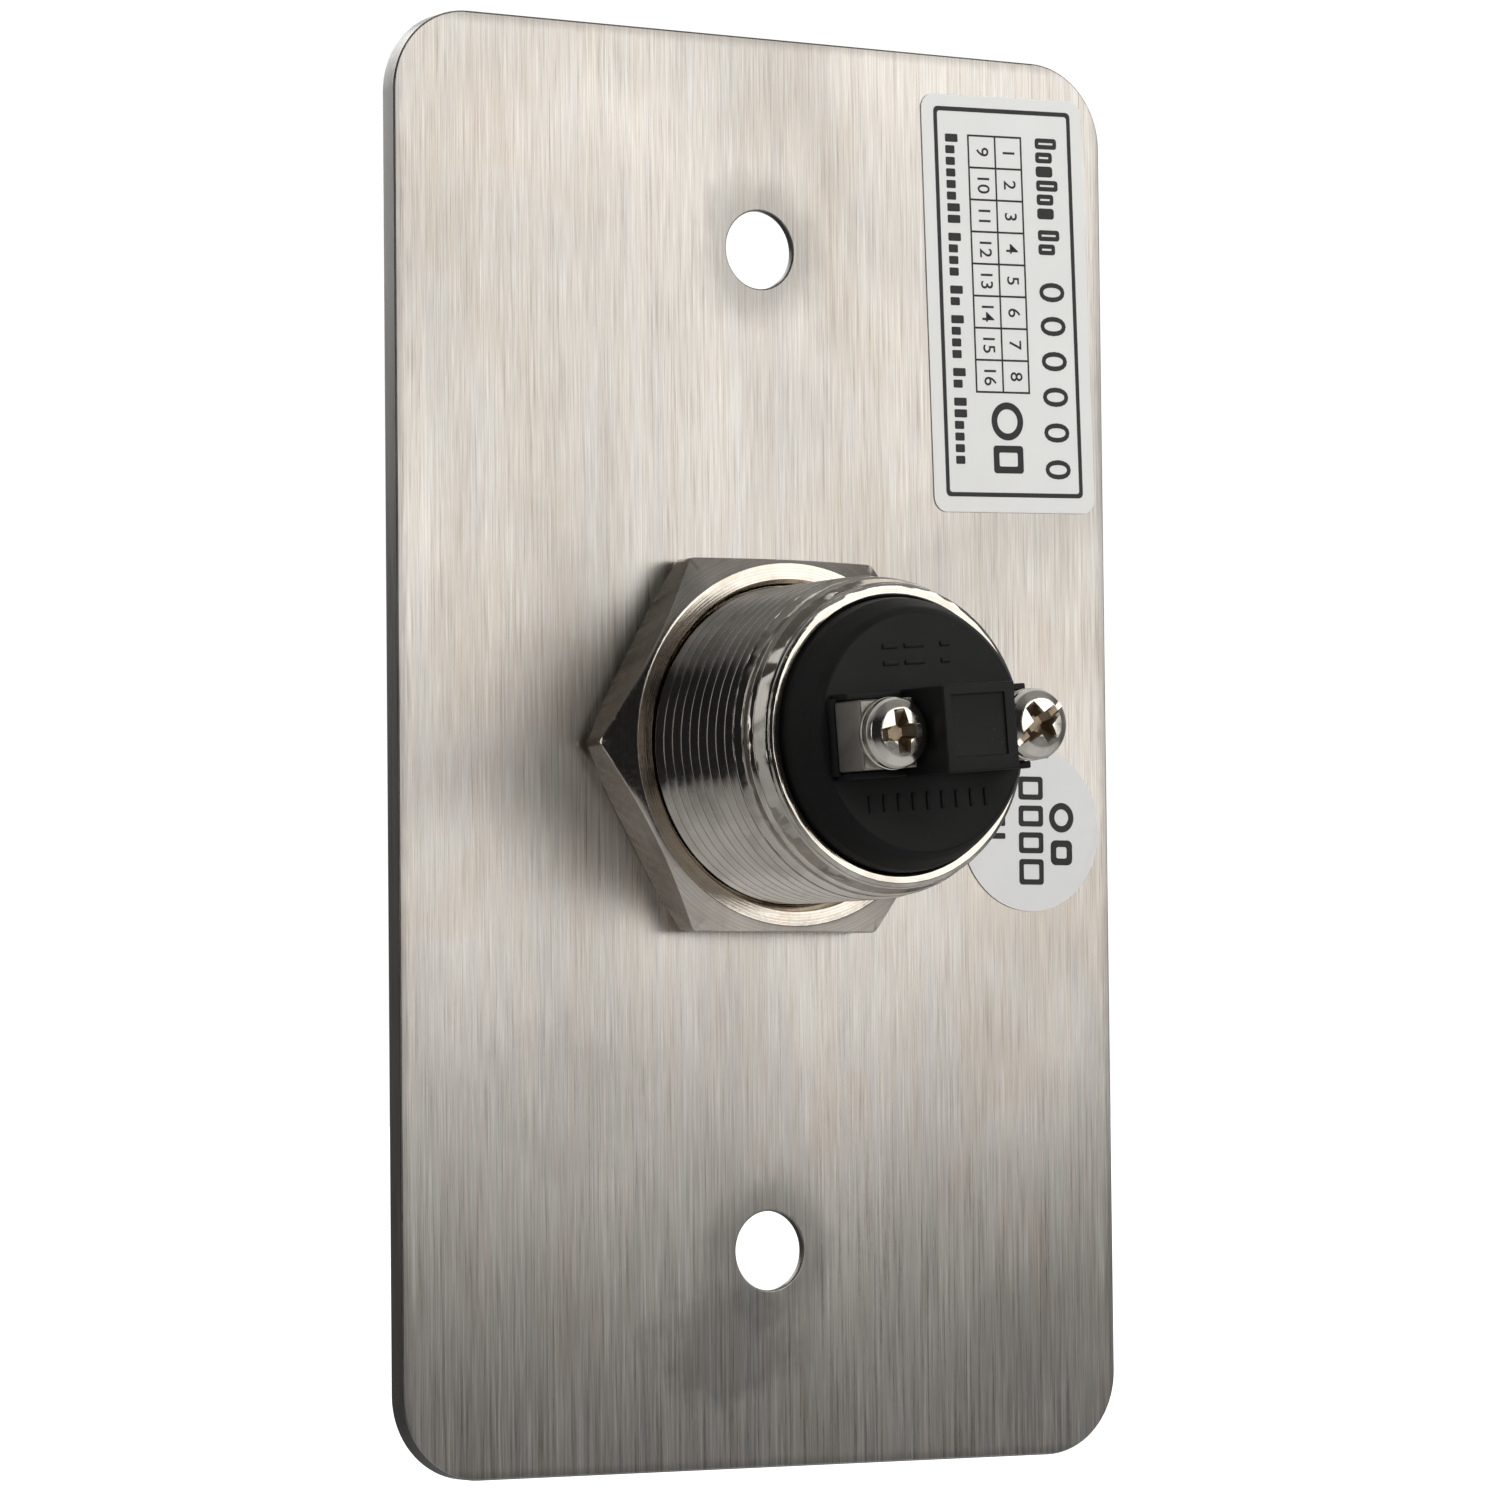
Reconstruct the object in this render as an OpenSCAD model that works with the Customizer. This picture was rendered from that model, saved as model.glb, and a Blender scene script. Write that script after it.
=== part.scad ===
// Wall-plate momentary push button.
// +Z is up and the plate stands vertical. The origin is on the button's axis,
// in the plane of the plate's rear face, which lies against the wall.
// The button is pressed along +Y; the lock nut, barrel and wire terminals
// stand out behind the plate, towards +Y.
// "Left" and "right" terminals are named as seen from behind the plate:
// left is at +X and right is at -X.

/* [Plate] */
// Height of the plate
plate_h = 120; // [112:1:130]
// Width of the plate
plate_w = 70; // [66:1:80]
// Thickness of the sheet
plate_t = 2.0; // [1.2:0.1:2.2]
// Radius of the plate's corners
plate_r = 7.0; // [3:0.5:12]
// Distance between the two mounting holes
hole_spacing = 84; // [76:0.5:92]
// Radius of each mounting hole
hole_r = 3.3; // [2:0.1:3.6]

/* [Barrel] */
// Outside radius of the barrel's thread
thread_r = 13.25; // [13.1:0.05:13.4]
// Distance from one thread crest to the next
thread_pitch = 1.35; // [1.2:0.05:1.5]
// Depth of the thread
thread_depth = 0.6; // [0.4:0.05:0.7]
// How far the barrel reaches behind the plate
barrel_end = 20.4; // [20.1:0.1:21]
// Outside radius of the bezel in front of the plate
bezel_r = 15.5; // [14.6:0.1:17]

/* [Lock nut] */
// Distance across the flats of the lock nut
nut_af = 31; // [30:0.5:34]
// Thickness of the lock nut
nut_t = 4.5; // [3.5:0.1:5]

/* [Button] */
// Radius of the push cap
cap_r = 9.79; // [9.5:0.01:9.8]
// How far the cap travels when it is pressed
travel = 3.0; // [1.5:0.1:3]
// How far the top of the dome stands in front of the bezel
cap_proud = 3.2; // [2.8:0.1:4]

/* [Terminals] */
// Angle that the terminal insert is turned by in the barrel
clock_deg = 4.3; // [0:0.1:10]
// Distance of each terminal screw from the button's axis
term_x = 6.4; // [6.3:0.05:6.6]
// Height of the insert's rear face behind the plate
face_y = 24.0; // [23.5:0.1:25]
// Height of the barrier's top behind the plate
barrier_y = 32.4; // [31.5:0.1:34]
// How far the right-hand screw stands backed out
right_lift = 1.0; // [0:0.5:1]

/* [Labels] */
// Width of the printed label
label_w = 16.7; // [12:0.1:17]
// Height of the printed label
label_h = 36.0; // [25:0.5:38]
// Radius of the round sticker
sticker_r = 7.1; // [5:0.1:7.5]

/* [Hidden] */

gasket_t = 0.5;
bezel_t = 3.5;
bezel_back = -plate_t - gasket_t;
bezel_front = bezel_back - bezel_t;
cap_front = bezel_front - cap_proud;
guide_bore_r = 9.85;
stop_y = 2.0;
disc_y = stop_y + 1.05 + travel + 0.15;
disc_t = 1.6;
insert_bore_r = 11.25;
insert_r = 11.2;
base_front_y = disc_y + disc_t;
chamber_r = 8.6;
chamber_end = 19.0;
shaft_r = 2.0;
shaft_clear = 0.05;
tail_y = 26.0;
bridge_y = 12.0;
bridge_t = 0.6;
rivet_x = 5.0;
rivet_h = 0.5;
foot_y = 17.0;
foot_t = 0.6;
blade_x = term_x + 1.2;
blade_t = 0.8;
plinth_h = 1.0;
block_y = face_y + plinth_h;
block_h = 3.7;
block_w = 5.2;
block_z = 5.6;
washer_gap = 0.02;
washer_t = 0.48;
head_y = block_y + block_h + 2 * washer_gap + washer_t;
head_r = 2.87;
head_h = 1.9;
shank_r = 1.45;
hole_clear = 0.05;
label_t = 0.12;
label_x = -25.2;
label_z = 38.8;
label_turn = 1.6;
sticker_x = -26.8;
sticker_z = -6.4;
seal_y = -2.6;
seal_r = 0.5;

// Revolves a profile of [radius, y] points about the button's axis.
module yrev(pts) rotate([-90, 0, 0]) rotate_extrude($fn = 96) polygon(pts);

// A cylinder along Y from y0 to y1.
module ycyl(r, y0, y1, fn = 64) translate([0, y0, 0]) rotate([-90, 0, 0]) cylinder(r = r, h = y1 - y0, $fn = fn);

// A block given by its lowest and highest corners.
module box(a, b) translate(a) cube(b - a);

// Turns the terminal insert's parts to the angle they sit at in the barrel.
module clocked() rotate([0, clock_deg, 0]) children();

// A rectangle with round corners.
module round_rect(w, h, r) {
    square([w - 2 * r, h], center = true);
    square([w, h - 2 * r], center = true);
    for (sx = [-1, 1]) for (sy = [-1, 1])
        translate([sx * (w / 2 - r), sy * (h / 2 - r)]) circle(r = r, $fn = 48);
}

// ---- Plate ----
module wall_plate() {
    color([0.72, 0.71, 0.68]) difference() {
        rotate([90, 0, 0]) linear_extrude(height = plate_t) round_rect(plate_w, plate_h, plate_r);
        ycyl(thread_r + 0.25, -plate_t - 1, 1, 96);
        // screw holes, countersunk from the front
        for (s = [-1, 1]) translate([0, 0, s * hole_spacing / 2]) {
            ycyl(hole_r, -plate_t - 1, 1);
            translate([0, -plate_t - 0.1, 0]) rotate([-90, 0, 0])
                cylinder(r1 = hole_r + plate_t - 0.5, r2 = hole_r, h = plate_t - 0.5, $fn = 64);
        }
    }
}

// ---- Bezel and threaded barrel, one turned piece ----
thread_start = 0.4;
thread_count = floor((17.9 - thread_start) / thread_pitch);
function groove(i) = let (y = thread_start + i * thread_pitch)
    [[thread_r, y], [thread_r - thread_depth, y + 0.45 * thread_pitch],
     [thread_r - thread_depth, y + 0.55 * thread_pitch], [thread_r, y + 0.99 * thread_pitch]];
thread_end = thread_start + thread_count * thread_pitch;
housing_outer = concat(
    [[guide_bore_r, bezel_front + 0.4], [guide_bore_r + 0.4, bezel_front],
     [bezel_r - 1.6, bezel_front], [bezel_r - 0.5, bezel_front + 0.5], [bezel_r, bezel_front + 1.4],
     [bezel_r, bezel_back], [thread_r - thread_depth, bezel_back],
     [thread_r - thread_depth, thread_start - 0.4], [thread_r, thread_start]],
    [for (i = [0 : thread_count - 1]) for (p = groove(i)) if (p[1] > thread_start) p],
    [[thread_r, thread_end + 0.45], [thread_r - 0.45, thread_end + 0.7],
     [thread_r - 0.2, thread_end + 1.0], [thread_r - 0.35, thread_end + 1.4],
     [thread_r - 0.8, barrel_end - 0.35], [thread_r - 1.05, barrel_end],
     [insert_bore_r + 0.45, barrel_end], [insert_bore_r, barrel_end - 0.4]],
    [[insert_bore_r, disc_y], [insert_bore_r - 0.35, disc_y],
     [insert_bore_r - 0.35, stop_y], [guide_bore_r, stop_y]]);
module button_housing() {
    color([0.75, 0.73, 0.70]) yrev(housing_outer);
}

module bezel_gasket() {
    color([0.08, 0.08, 0.08]) yrev([[thread_r + 0.1, bezel_back], [bezel_r - 0.6, bezel_back],
        [bezel_r - 0.6, -plate_t], [thread_r + 0.1, -plate_t]]);
}

// ---- Hexagonal lock nut with chamfered corners ----
module lock_nut() {
    nut_rc = nut_af / 2 / cos(30);
    flat_r = nut_af / 2 - 0.35;
    drop = (nut_rc + 0.1 - flat_r) * 0.58;
    color([0.78, 0.76, 0.72]) difference() {
        intersection() {
            ycyl(nut_rc, 0, nut_t, 6);
            yrev([[0, -0.1], [nut_rc - 0.6, -0.1], [nut_rc - 0.6, 0], [nut_rc + 0.1, 0.5],
                  [nut_rc + 0.1, nut_t - drop], [flat_r, nut_t], [flat_r, nut_t + 1], [0, nut_t + 1]]);
        }
        yrev([[0, -1], [thread_r + 0.55, -1], [thread_r + 0.55, 0], [thread_r + 0.05, 0.5],
              [thread_r + 0.05, nut_t - 0.5], [thread_r + 0.55, nut_t], [thread_r + 0.55, nut_t + 1], [0, nut_t + 1]]);
    }
}

// ---- Push cap: a domed metal cup with a stop flange and a seal groove ----
module push_cap() {
    inner = cap_r - 1.3;
    front_in = cap_front + 1.6;
    color([0.80, 0.79, 0.77]) difference() {
        yrev(concat([[0, cap_front]],
             [for (a = [4 : 4 : 40]) [cap_r * 0.9 * sin(a) / sin(40), cap_front + 1.05 * (1 - cos(a)) / (1 - cos(40))]],
             [[cap_r - 0.35, cap_front + 1.45], [cap_r, cap_front + 1.95],
              [cap_r, seal_y - 0.55], [cap_r - 0.99, seal_y - 0.55], [cap_r - 0.99, seal_y + 0.55], [cap_r, seal_y + 0.55],
              [cap_r, stop_y + 0.05], [cap_r + 0.85, stop_y + 0.05], [cap_r + 0.85, stop_y + 1.05],
              [inner, stop_y + 1.05], [inner, front_in + 0.4], [3.2, front_in + 0.4], [3.2, front_in + 3.2],
              [1.5, front_in + 3.2], [1.5, front_in + 0.6], [0, front_in + 0.6]]));
    }
}

// Rubber ring in the cap's groove.
module cap_seal() {
    color([0.1, 0.1, 0.1]) rotate([-90, 0, 0]) translate([0, 0, seal_y]) rotate_extrude($fn = 96)
        translate([guide_bore_r - 0.03 - seal_r, 0]) circle(r = seal_r, $fn = 24);
}

// ---- Plunger: a moulded rod pressed into the cap, with a collar for the contact spring ----
module plunger() {
    tip_y = cap_front + 1.6 + 0.7;
    boss_y = cap_front + 1.6 + 3.2;
    color([0.12, 0.12, 0.12]) difference() {
        yrev([[0, tip_y], [1.2, tip_y], [1.49, tip_y + 0.3], [1.49, boss_y], [3.0, boss_y], [3.0, boss_y + 0.8],
              [shaft_r, boss_y + 0.8], [shaft_r, 8.3], [3.2, 8.3], [3.2, 9.1], [shaft_r, 9.1],
              [shaft_r, bridge_y + bridge_t + 0.02], [1.5, bridge_y + bridge_t + 0.02],
              [1.5, bridge_y + bridge_t + 0.6], [shaft_r, bridge_y + bridge_t + 0.6],
              [shaft_r, tail_y - 0.5], [shaft_r - 0.5, tail_y], [0, tail_y]]);
    }
}

// A round-wire coil along Y: points on a helix with a ring of sides at each.
function coil_ring(r, a, y, wr, sides) =
    [for (k = [0 : sides - 1]) let (b = 360 * k / sides, q = r + wr * cos(b))
        [q * cos(a), y + wr * sin(b), q * sin(a)]];
module coil(r, wr, y0, y1, turns, per_turn = 20, sides = 8) {
    n = turns * per_turn;
    // the end turns lie flat, as ground ends do
    function fy(t) = let (e = 0.85, lead = 2 * wr * 1.02, body = (y1 - y0 - 2 * wr - 2 * lead * e) / (turns - 2 * e))
        t < e ? lead * t : t > turns - e ? (y1 - y0 - 2 * wr) - lead * (turns - t) : lead * e + body * (t - e);
    pts = [for (i = [0 : n]) let (t = i / per_turn) each coil_ring(r, 360 * t, y0 + wr + fy(t), wr, sides)];
    faces = concat([[for (k = [0 : sides - 1]) k]],
        [for (i = [0 : n - 1]) for (k = [0 : sides - 1]) let (k2 = (k + 1) % sides)
            [i * sides + k, (i + 1) * sides + k, (i + 1) * sides + k2, i * sides + k2]],
        [[for (k = [sides - 1 : -1 : 0]) n * sides + k]]);
    polyhedron(points = pts, faces = faces, convexity = 10);
}

module return_spring() {
    color([0.6, 0.6, 0.62]) coil(4.3, 0.38, cap_front + 1.6 + 0.45, disc_y - 0.02, 7);
}
module contact_spring() {
    color([0.6, 0.6, 0.62]) coil(2.55, 0.22, 9.12, bridge_y - 0.02, 4);
}

// ---- Guide disc that closes the front of the contact chamber ----
module guide_disc() {
    color([0.14, 0.14, 0.14]) difference() {
        ycyl(insert_r, disc_y, disc_y + disc_t, 96);
        ycyl(shaft_r + shaft_clear, disc_y - 1, disc_y + disc_t + 1);
    }
}

// ---- Moulded insert that carries the contacts and the wire terminals ----
module terminal_base() {
    color([0.10, 0.10, 0.10]) clocked() difference() {
        union() {
            yrev([[0, base_front_y], [insert_r, base_front_y], [insert_r, barrel_end - 0.3], [insert_r - 0.12, face_y - 2.7],
                  [insert_r - 0.35, face_y - 2.0], [insert_r - 1.05, face_y - 0.55], [insert_r - 1.45, face_y - 0.12],
                  [insert_r - 1.75, face_y], [0, face_y]]);
            // barrier between the terminals, which also guides the plunger's tail
            box([-3.45, face_y - 0.5, -3.5], [3.45, barrier_y, 3.5]);
            for (s = [-1, 1]) {
                // plinth under each terminal
                box([s > 0 ? 3.4 : -term_x - block_w / 2 - 0.1, face_y - 0.5, -3.15],
                    [s > 0 ? term_x + block_w / 2 + 0.1 : -3.4, face_y + plinth_h, 3.15]);
                // low ears beside each terminal
                for (t = [-1, 1])
                    box([s > 0 ? 3.4 : -term_x - 2.3, face_y - 0.5, t > 0 ? block_z / 2 + 0.06 : -block_z / 2 - 0.66],
                        [s > 0 ? term_x + 2.3 : -3.4, face_y + 2.4, t > 0 ? block_z / 2 + 0.66 : -block_z / 2 - 0.06]);
            }
        }
        // contact chamber
        ycyl(chamber_r, base_front_y - 1, chamber_end, 96);
        // guide hole for the plunger's tail
        ycyl(shaft_r + shaft_clear, chamber_end - 1, tail_y + travel + 0.8);
        // slots for the fixed contacts
        for (s = [-1, 1]) translate([s * blade_x, 0, 0])
            box([-blade_t / 2 - 0.03, chamber_end - 1, -2.03], [blade_t / 2 + 0.03, face_y + plinth_h + 1, 2.03]);
        // shallow recess in the barrier's top
        box([-2.5, barrier_y - 0.25, -2.45], [2.5, barrier_y + 1, 2.8]);
        // clearance below each screw's tip
        for (s = [-1, 1]) translate([s * term_x, 0, 0]) ycyl(1.6, face_y + 0.2, face_y + plinth_h + 1);
    }
}

// ---- Moving contact, carried by the plunger ----
module contact_bridge() {
    color([0.80, 0.62, 0.30]) clocked() difference() {
        box([-6.6, bridge_y, -2.4], [6.6, bridge_y + bridge_t, 2.4]);
        ycyl(shaft_r + 0.06, bridge_y - 1, bridge_y + bridge_t + 1);
    }
}
module moving_contact_rivets() {
    color([0.85, 0.85, 0.85]) clocked() for (s = [-1, 1]) translate([s * rivet_x, 0, 0])
        yrev([[0, bridge_y + bridge_t], [1.2, bridge_y + bridge_t], [1.2, bridge_y + bridge_t + 0.3],
              [0.9, bridge_y + bridge_t + rivet_h], [0, bridge_y + bridge_t + rivet_h]]);
}
module bridge_clip() {
    y = bridge_y + bridge_t + 0.06;
    color([0.5, 0.5, 0.52]) difference() {
        ycyl(3.1, y, y + 0.4);
        ycyl(1.53, y - 1, y + 1.4);
        box([-1.2, y - 1, -4], [1.2, y + 1.4, 0]);
    }
}

// ---- Fixed contacts: one bent strip on each side, with a silver rivet ----
module fixed_contact(s) {
    color([0.80, 0.62, 0.30]) clocked() mirror([s < 0 ? 1 : 0, 0, 0]) {
        box([blade_x - blade_t / 2, foot_y, -2], [blade_x + blade_t / 2, block_y, 2]);
        box([3.8, foot_y, -2], [blade_x, foot_y + foot_t, 2]);
    }
}
module fixed_contact_left() fixed_contact(1);
module fixed_contact_right() fixed_contact(-1);
module fixed_contact_rivets() {
    color([0.85, 0.85, 0.85]) clocked() for (s = [-1, 1]) translate([s * rivet_x, 0, 0])
        yrev([[0, foot_y - 0.7], [0.9, foot_y - 0.7], [1.2, foot_y - 0.4], [1.2, foot_y], [0, foot_y]]);
}

// ---- Terminal blocks with a tapped hole ----
module terminal_block(s) {
    color([0.70, 0.68, 0.64]) clocked() translate([s * term_x, 0, 0]) difference() {
        box([-block_w / 2, block_y, -block_z / 2], [block_w / 2, block_y + block_h, block_z / 2]);
        ycyl(shank_r + hole_clear, block_y - 1, block_y + block_h + 1);
    }
}
module terminal_block_left() terminal_block(1);
module terminal_block_right() terminal_block(-1);

module clamp_washer(s, lift) {
    y = block_y + block_h + washer_gap + lift;
    color([0.78, 0.76, 0.72]) clocked() translate([s * term_x, 0, 0]) difference() {
        ycyl(head_r + 0.05, y, y + washer_t);
        ycyl(shank_r + 0.08, y - 1, y + washer_t + 1);
    }
}
module clamp_washer_left() clamp_washer(1, 0);
module clamp_washer_right() clamp_washer(-1, right_lift);

// ---- Pan-head terminal screws ----
module terminal_screw(s, lift, turn, slot) {
    y = head_y + lift;
    color([0.80, 0.78, 0.74]) clocked() translate([s * term_x, 0, 0]) difference() {
        yrev([[0, y - 3.5], [shank_r - 0.4, y - 3.5], [shank_r, y - 3.1], [shank_r, y], [head_r - 0.1, y], [head_r, y + 0.1],
              [head_r, y + 0.6], [head_r - 0.25, y + 1.0], [head_r - 0.8, y + 1.45], [head_r - 1.6, y + 1.77], [0.6, y + head_h], [0, y + head_h]]);
        rotate([0, turn, 0]) {
            box([-1.75, y + 0.7, -0.38], [1.75, y + 3, 0.38]);
            box([-0.38, y + 0.7, -1.75], [0.38, y + 3, 1.75]);
            if (slot) box([-4, y + 1.15, -0.3], [4, y + 3, 0.3]);
        }
    }
}
module terminal_screw_left() terminal_screw(1, 0, 4, false);
module terminal_screw_right() terminal_screw(-1, right_lift, 34, true);

// ---- Labels on the plate's rear face ----
module serial_label() {
    color([0.93, 0.93, 0.91]) translate([label_x, 0, label_z]) rotate([0, label_turn, 0])
        translate([0, label_t, 0]) rotate([90, 0, 0]) linear_extrude(height = label_t) round_rect(label_w, label_h, 1.3);
}
module inspection_sticker() {
    color([0.93, 0.93, 0.91]) translate([sticker_x, 0, sticker_z]) ycyl(sticker_r, 0, label_t, 96);
}

wall_plate();
button_housing();
bezel_gasket();
lock_nut();
push_cap();
cap_seal();
plunger();
return_spring();
guide_disc();
terminal_base();
contact_bridge();
moving_contact_rivets();
contact_spring();
bridge_clip();
fixed_contact_left();
fixed_contact_right();
fixed_contact_rivets();
terminal_block_left();
terminal_block_right();
clamp_washer_left();
clamp_washer_right();
terminal_screw_left();
terminal_screw_right();
serial_label();
inspection_sticker();
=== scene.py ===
import bpy, bmesh, math, random
import numpy as np
from mathutils import Vector, Matrix
from mathutils.geometry import tessellate_polygon


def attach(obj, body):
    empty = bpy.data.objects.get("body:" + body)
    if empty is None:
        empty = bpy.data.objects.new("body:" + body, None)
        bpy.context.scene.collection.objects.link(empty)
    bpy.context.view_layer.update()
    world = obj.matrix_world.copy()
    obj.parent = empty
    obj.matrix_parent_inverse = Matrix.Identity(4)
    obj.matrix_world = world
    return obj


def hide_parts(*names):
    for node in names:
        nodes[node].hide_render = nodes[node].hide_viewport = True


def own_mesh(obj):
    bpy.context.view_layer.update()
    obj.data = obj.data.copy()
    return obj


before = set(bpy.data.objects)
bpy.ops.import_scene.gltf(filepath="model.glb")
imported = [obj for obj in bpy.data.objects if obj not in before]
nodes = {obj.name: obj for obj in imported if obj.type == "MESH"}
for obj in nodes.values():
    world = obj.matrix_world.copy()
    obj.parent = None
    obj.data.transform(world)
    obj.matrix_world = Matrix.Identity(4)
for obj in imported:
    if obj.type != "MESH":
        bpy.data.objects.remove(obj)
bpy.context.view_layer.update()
MM = 0.001
TAU = 2 * math.pi
random.seed(7)
RNG = np.random.default_rng(7)

# ------------------------------------------------------------------ dimensions, mm
PLATE_W, PLATE_H, PLATE_T, PLATE_R = 70.0, 120.0, 2.0, 7.0
HOLE_R, HOLE_S = 3.3, 84.0
THREAD_R, PITCH, DEPTH = 13.25, 1.35, 0.6
BARREL_END = 20.4
BEZEL_R, BEZEL_BACK = 15.5, -2.5
BEZEL_FRONT = -6.0
CAP_FRONT = BEZEL_FRONT - 3.2
GUIDE_R = 9.85
STOP_Y, DISC_Y = 2.0, 6.2
INS_BORE, INS_R = 11.25, 11.2
FACE_Y, BARRIER_Y = 24.0, 32.4
TERM_X, CLOCK = 6.4, 4.3
BLOCK_Y, BLOCK_H, BLOCK_W, BLOCK_Z = 25.0, 3.7, 5.2, 5.6
HEAD_Y, HEAD_R, DOME_H = 29.22, 2.87, 1.62
RIGHT_LIFT = 1.0
NUT_AF, NUT_T = 31.0, 4.5
LABEL = (-25.2, 38.8, 16.7, 36.0, 1.6)   # X, Z, width, height, turn seen from behind
STICKER = (-26.8, -6.4, 7.1)

# ------------------------------------------------------------------ camera
AZ, EL, ROLL = math.radians(32.02), math.radians(-3.157), math.radians(-0.573)
FPX, DIST, TX, TY = 6339.5, 531.3, 1.247, 0.076
PPX, PPY = 749.9, 749.0


def make_camera():
    b = np.array([-math.sin(AZ) * math.cos(EL), math.sin(EL), math.cos(AZ) * math.cos(EL)])
    up0 = np.array([0, 1.0, 0])
    r = np.cross(up0, b); r /= np.linalg.norm(r)
    u = np.cross(b, r)
    r2 = math.cos(ROLL) * r + math.sin(ROLL) * u
    u2 = -math.sin(ROLL) * r + math.cos(ROLL) * u
    c = -TX * r2 - TY * u2 + DIST * b
    w = lambda v: Vector((-v[0], v[2], v[1]))
    cam = bpy.data.cameras.new("camera")
    cam.sensor_fit = "HORIZONTAL"
    cam.sensor_width = 36.0
    cam.lens = FPX / 1500 * 36.0
    cam.shift_x = -(PPX - 750) / 1500
    cam.shift_y = (PPY - 750) / 1500
    cam.clip_start, cam.clip_end = 0.01, 100
    ob = bpy.data.objects.new("camera", cam)
    m = Matrix.Identity(4)
    for i, v in enumerate((w(r2), w(u2), w(b))):
        for k in range(3):
            m[k][i] = v[k]
    loc = w(c) * MM
    for k in range(3):
        m[k][3] = loc[k]
    ob.matrix_world = m
    bpy.context.scene.collection.objects.link(ob)
    bpy.context.scene.camera = ob
    return ob


make_camera()


# ------------------------------------------------------------------ node helpers
class Nodes:
    """Short calls for building one material's node tree."""

    def __init__(self, name):
        self.mat = bpy.data.materials.new(name)
        self.mat.use_nodes = True
        self.t = self.mat.node_tree
        self.t.nodes.clear()
        self.out = self.t.nodes.new("ShaderNodeOutputMaterial")
        self.b = self.t.nodes.new("ShaderNodeBsdfPrincipled")
        self.t.links.new(self.b.outputs[0], self.out.inputs[0])
        self.co = self.t.nodes.new("ShaderNodeTexCoord").outputs["Object"]

    def link(self, a, b):
        self.t.links.new(a, b)

    def put(self, sock, v):
        if hasattr(v, "links") or isinstance(v, bpy.types.NodeSocket):
            self.t.links.new(v, sock)
        else:
            sock.default_value = v

    def mapping(self, scale=(1, 1, 1), loc=(0, 0, 0), rot=(0, 0, 0), src=None):
        n = self.t.nodes.new("ShaderNodeMapping")
        self.link(src or self.co, n.inputs[0])
        n.inputs["Scale"].default_value = scale
        n.inputs["Location"].default_value = loc
        n.inputs["Rotation"].default_value = rot
        return n.outputs[0]

    def noise(self, vec, scale=1.0, detail=3.0, rough=0.5, dist=0.0):
        n = self.t.nodes.new("ShaderNodeTexNoise")
        self.link(vec, n.inputs["Vector"])
        n.inputs["Scale"].default_value = scale
        n.inputs["Detail"].default_value = detail
        n.inputs["Roughness"].default_value = rough
        n.inputs["Distortion"].default_value = dist
        return n.outputs["Fac"]

    def voronoi(self, vec, scale=1.0, feature="F1", out="Distance"):
        n = self.t.nodes.new("ShaderNodeTexVoronoi")
        n.feature = feature
        self.link(vec, n.inputs["Vector"])
        n.inputs["Scale"].default_value = scale
        return n.outputs[out]

    def math(self, op, a, b=None, c=None, clamp=False):
        n = self.t.nodes.new("ShaderNodeMath")
        n.operation = op
        n.use_clamp = clamp
        self.put(n.inputs[0], a)
        if b is not None:
            self.put(n.inputs[1], b)
        if c is not None:
            self.put(n.inputs[2], c)
        return n.outputs[0]

    def ramp(self, fac, stops, interp="LINEAR"):
        n = self.t.nodes.new("ShaderNodeValToRGB")
        n.color_ramp.interpolation = interp
        e = n.color_ramp.elements
        while len(e) > 1:
            e.remove(e[-1])
        for i, (p, c) in enumerate(stops):
            el = e[0] if i == 0 else e.new(p)
            el.position = p
            c = (c, c, c) if isinstance(c, (int, float)) else c
            el.color = (c[0], c[1], c[2], 1)
        self.link(fac, n.inputs[0])
        return n.outputs[0]

    def maprange(self, v, a, b, c, d, smooth=False):
        n = self.t.nodes.new("ShaderNodeMapRange")
        n.interpolation_type = "SMOOTHSTEP" if smooth else "LINEAR"
        self.put(n.inputs[0], v)
        for i, x in enumerate((a, b, c, d)):
            n.inputs[i + 1].default_value = x
        return n.outputs[0]

    def mix(self, fac, a, b, blend="MIX"):
        n = self.t.nodes.new("ShaderNodeMix")
        n.data_type = "RGBA"
        n.blend_type = blend
        self.put(n.inputs[0], fac)
        for s, v in ((n.inputs[6], a), (n.inputs[7], b)):
            if isinstance(v, tuple):
                s.default_value = (v[0], v[1], v[2], 1)
            else:
                self.link(v, s)
        return n.outputs[2]

    def bump(self, height, strength=0.3, dist=0.0001, normal=None):
        n = self.t.nodes.new("ShaderNodeBump")
        n.inputs["Strength"].default_value = strength
        n.inputs["Distance"].default_value = dist
        self.link(height, n.inputs["Height"])
        if normal is not None:
            self.link(normal, n.inputs["Normal"])
        return n.outputs[0]

    def xyz(self, src=None):
        n = self.t.nodes.new("ShaderNodeSeparateXYZ")
        self.link(src or self.co, n.inputs[0])
        return n.outputs

    def combine(self, x, y, z):
        n = self.t.nodes.new("ShaderNodeCombineXYZ")
        self.put(n.inputs[0], x); self.put(n.inputs[1], y); self.put(n.inputs[2], z)
        return n.outputs[0]

    def set(self, **kw):
        for k, v in kw.items():
            s = self.b.inputs[k.replace("_", " ")]
            if isinstance(v, tuple) and len(v) == 3:
                v = (*v, 1)
            self.put(s, v)
        return self


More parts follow.
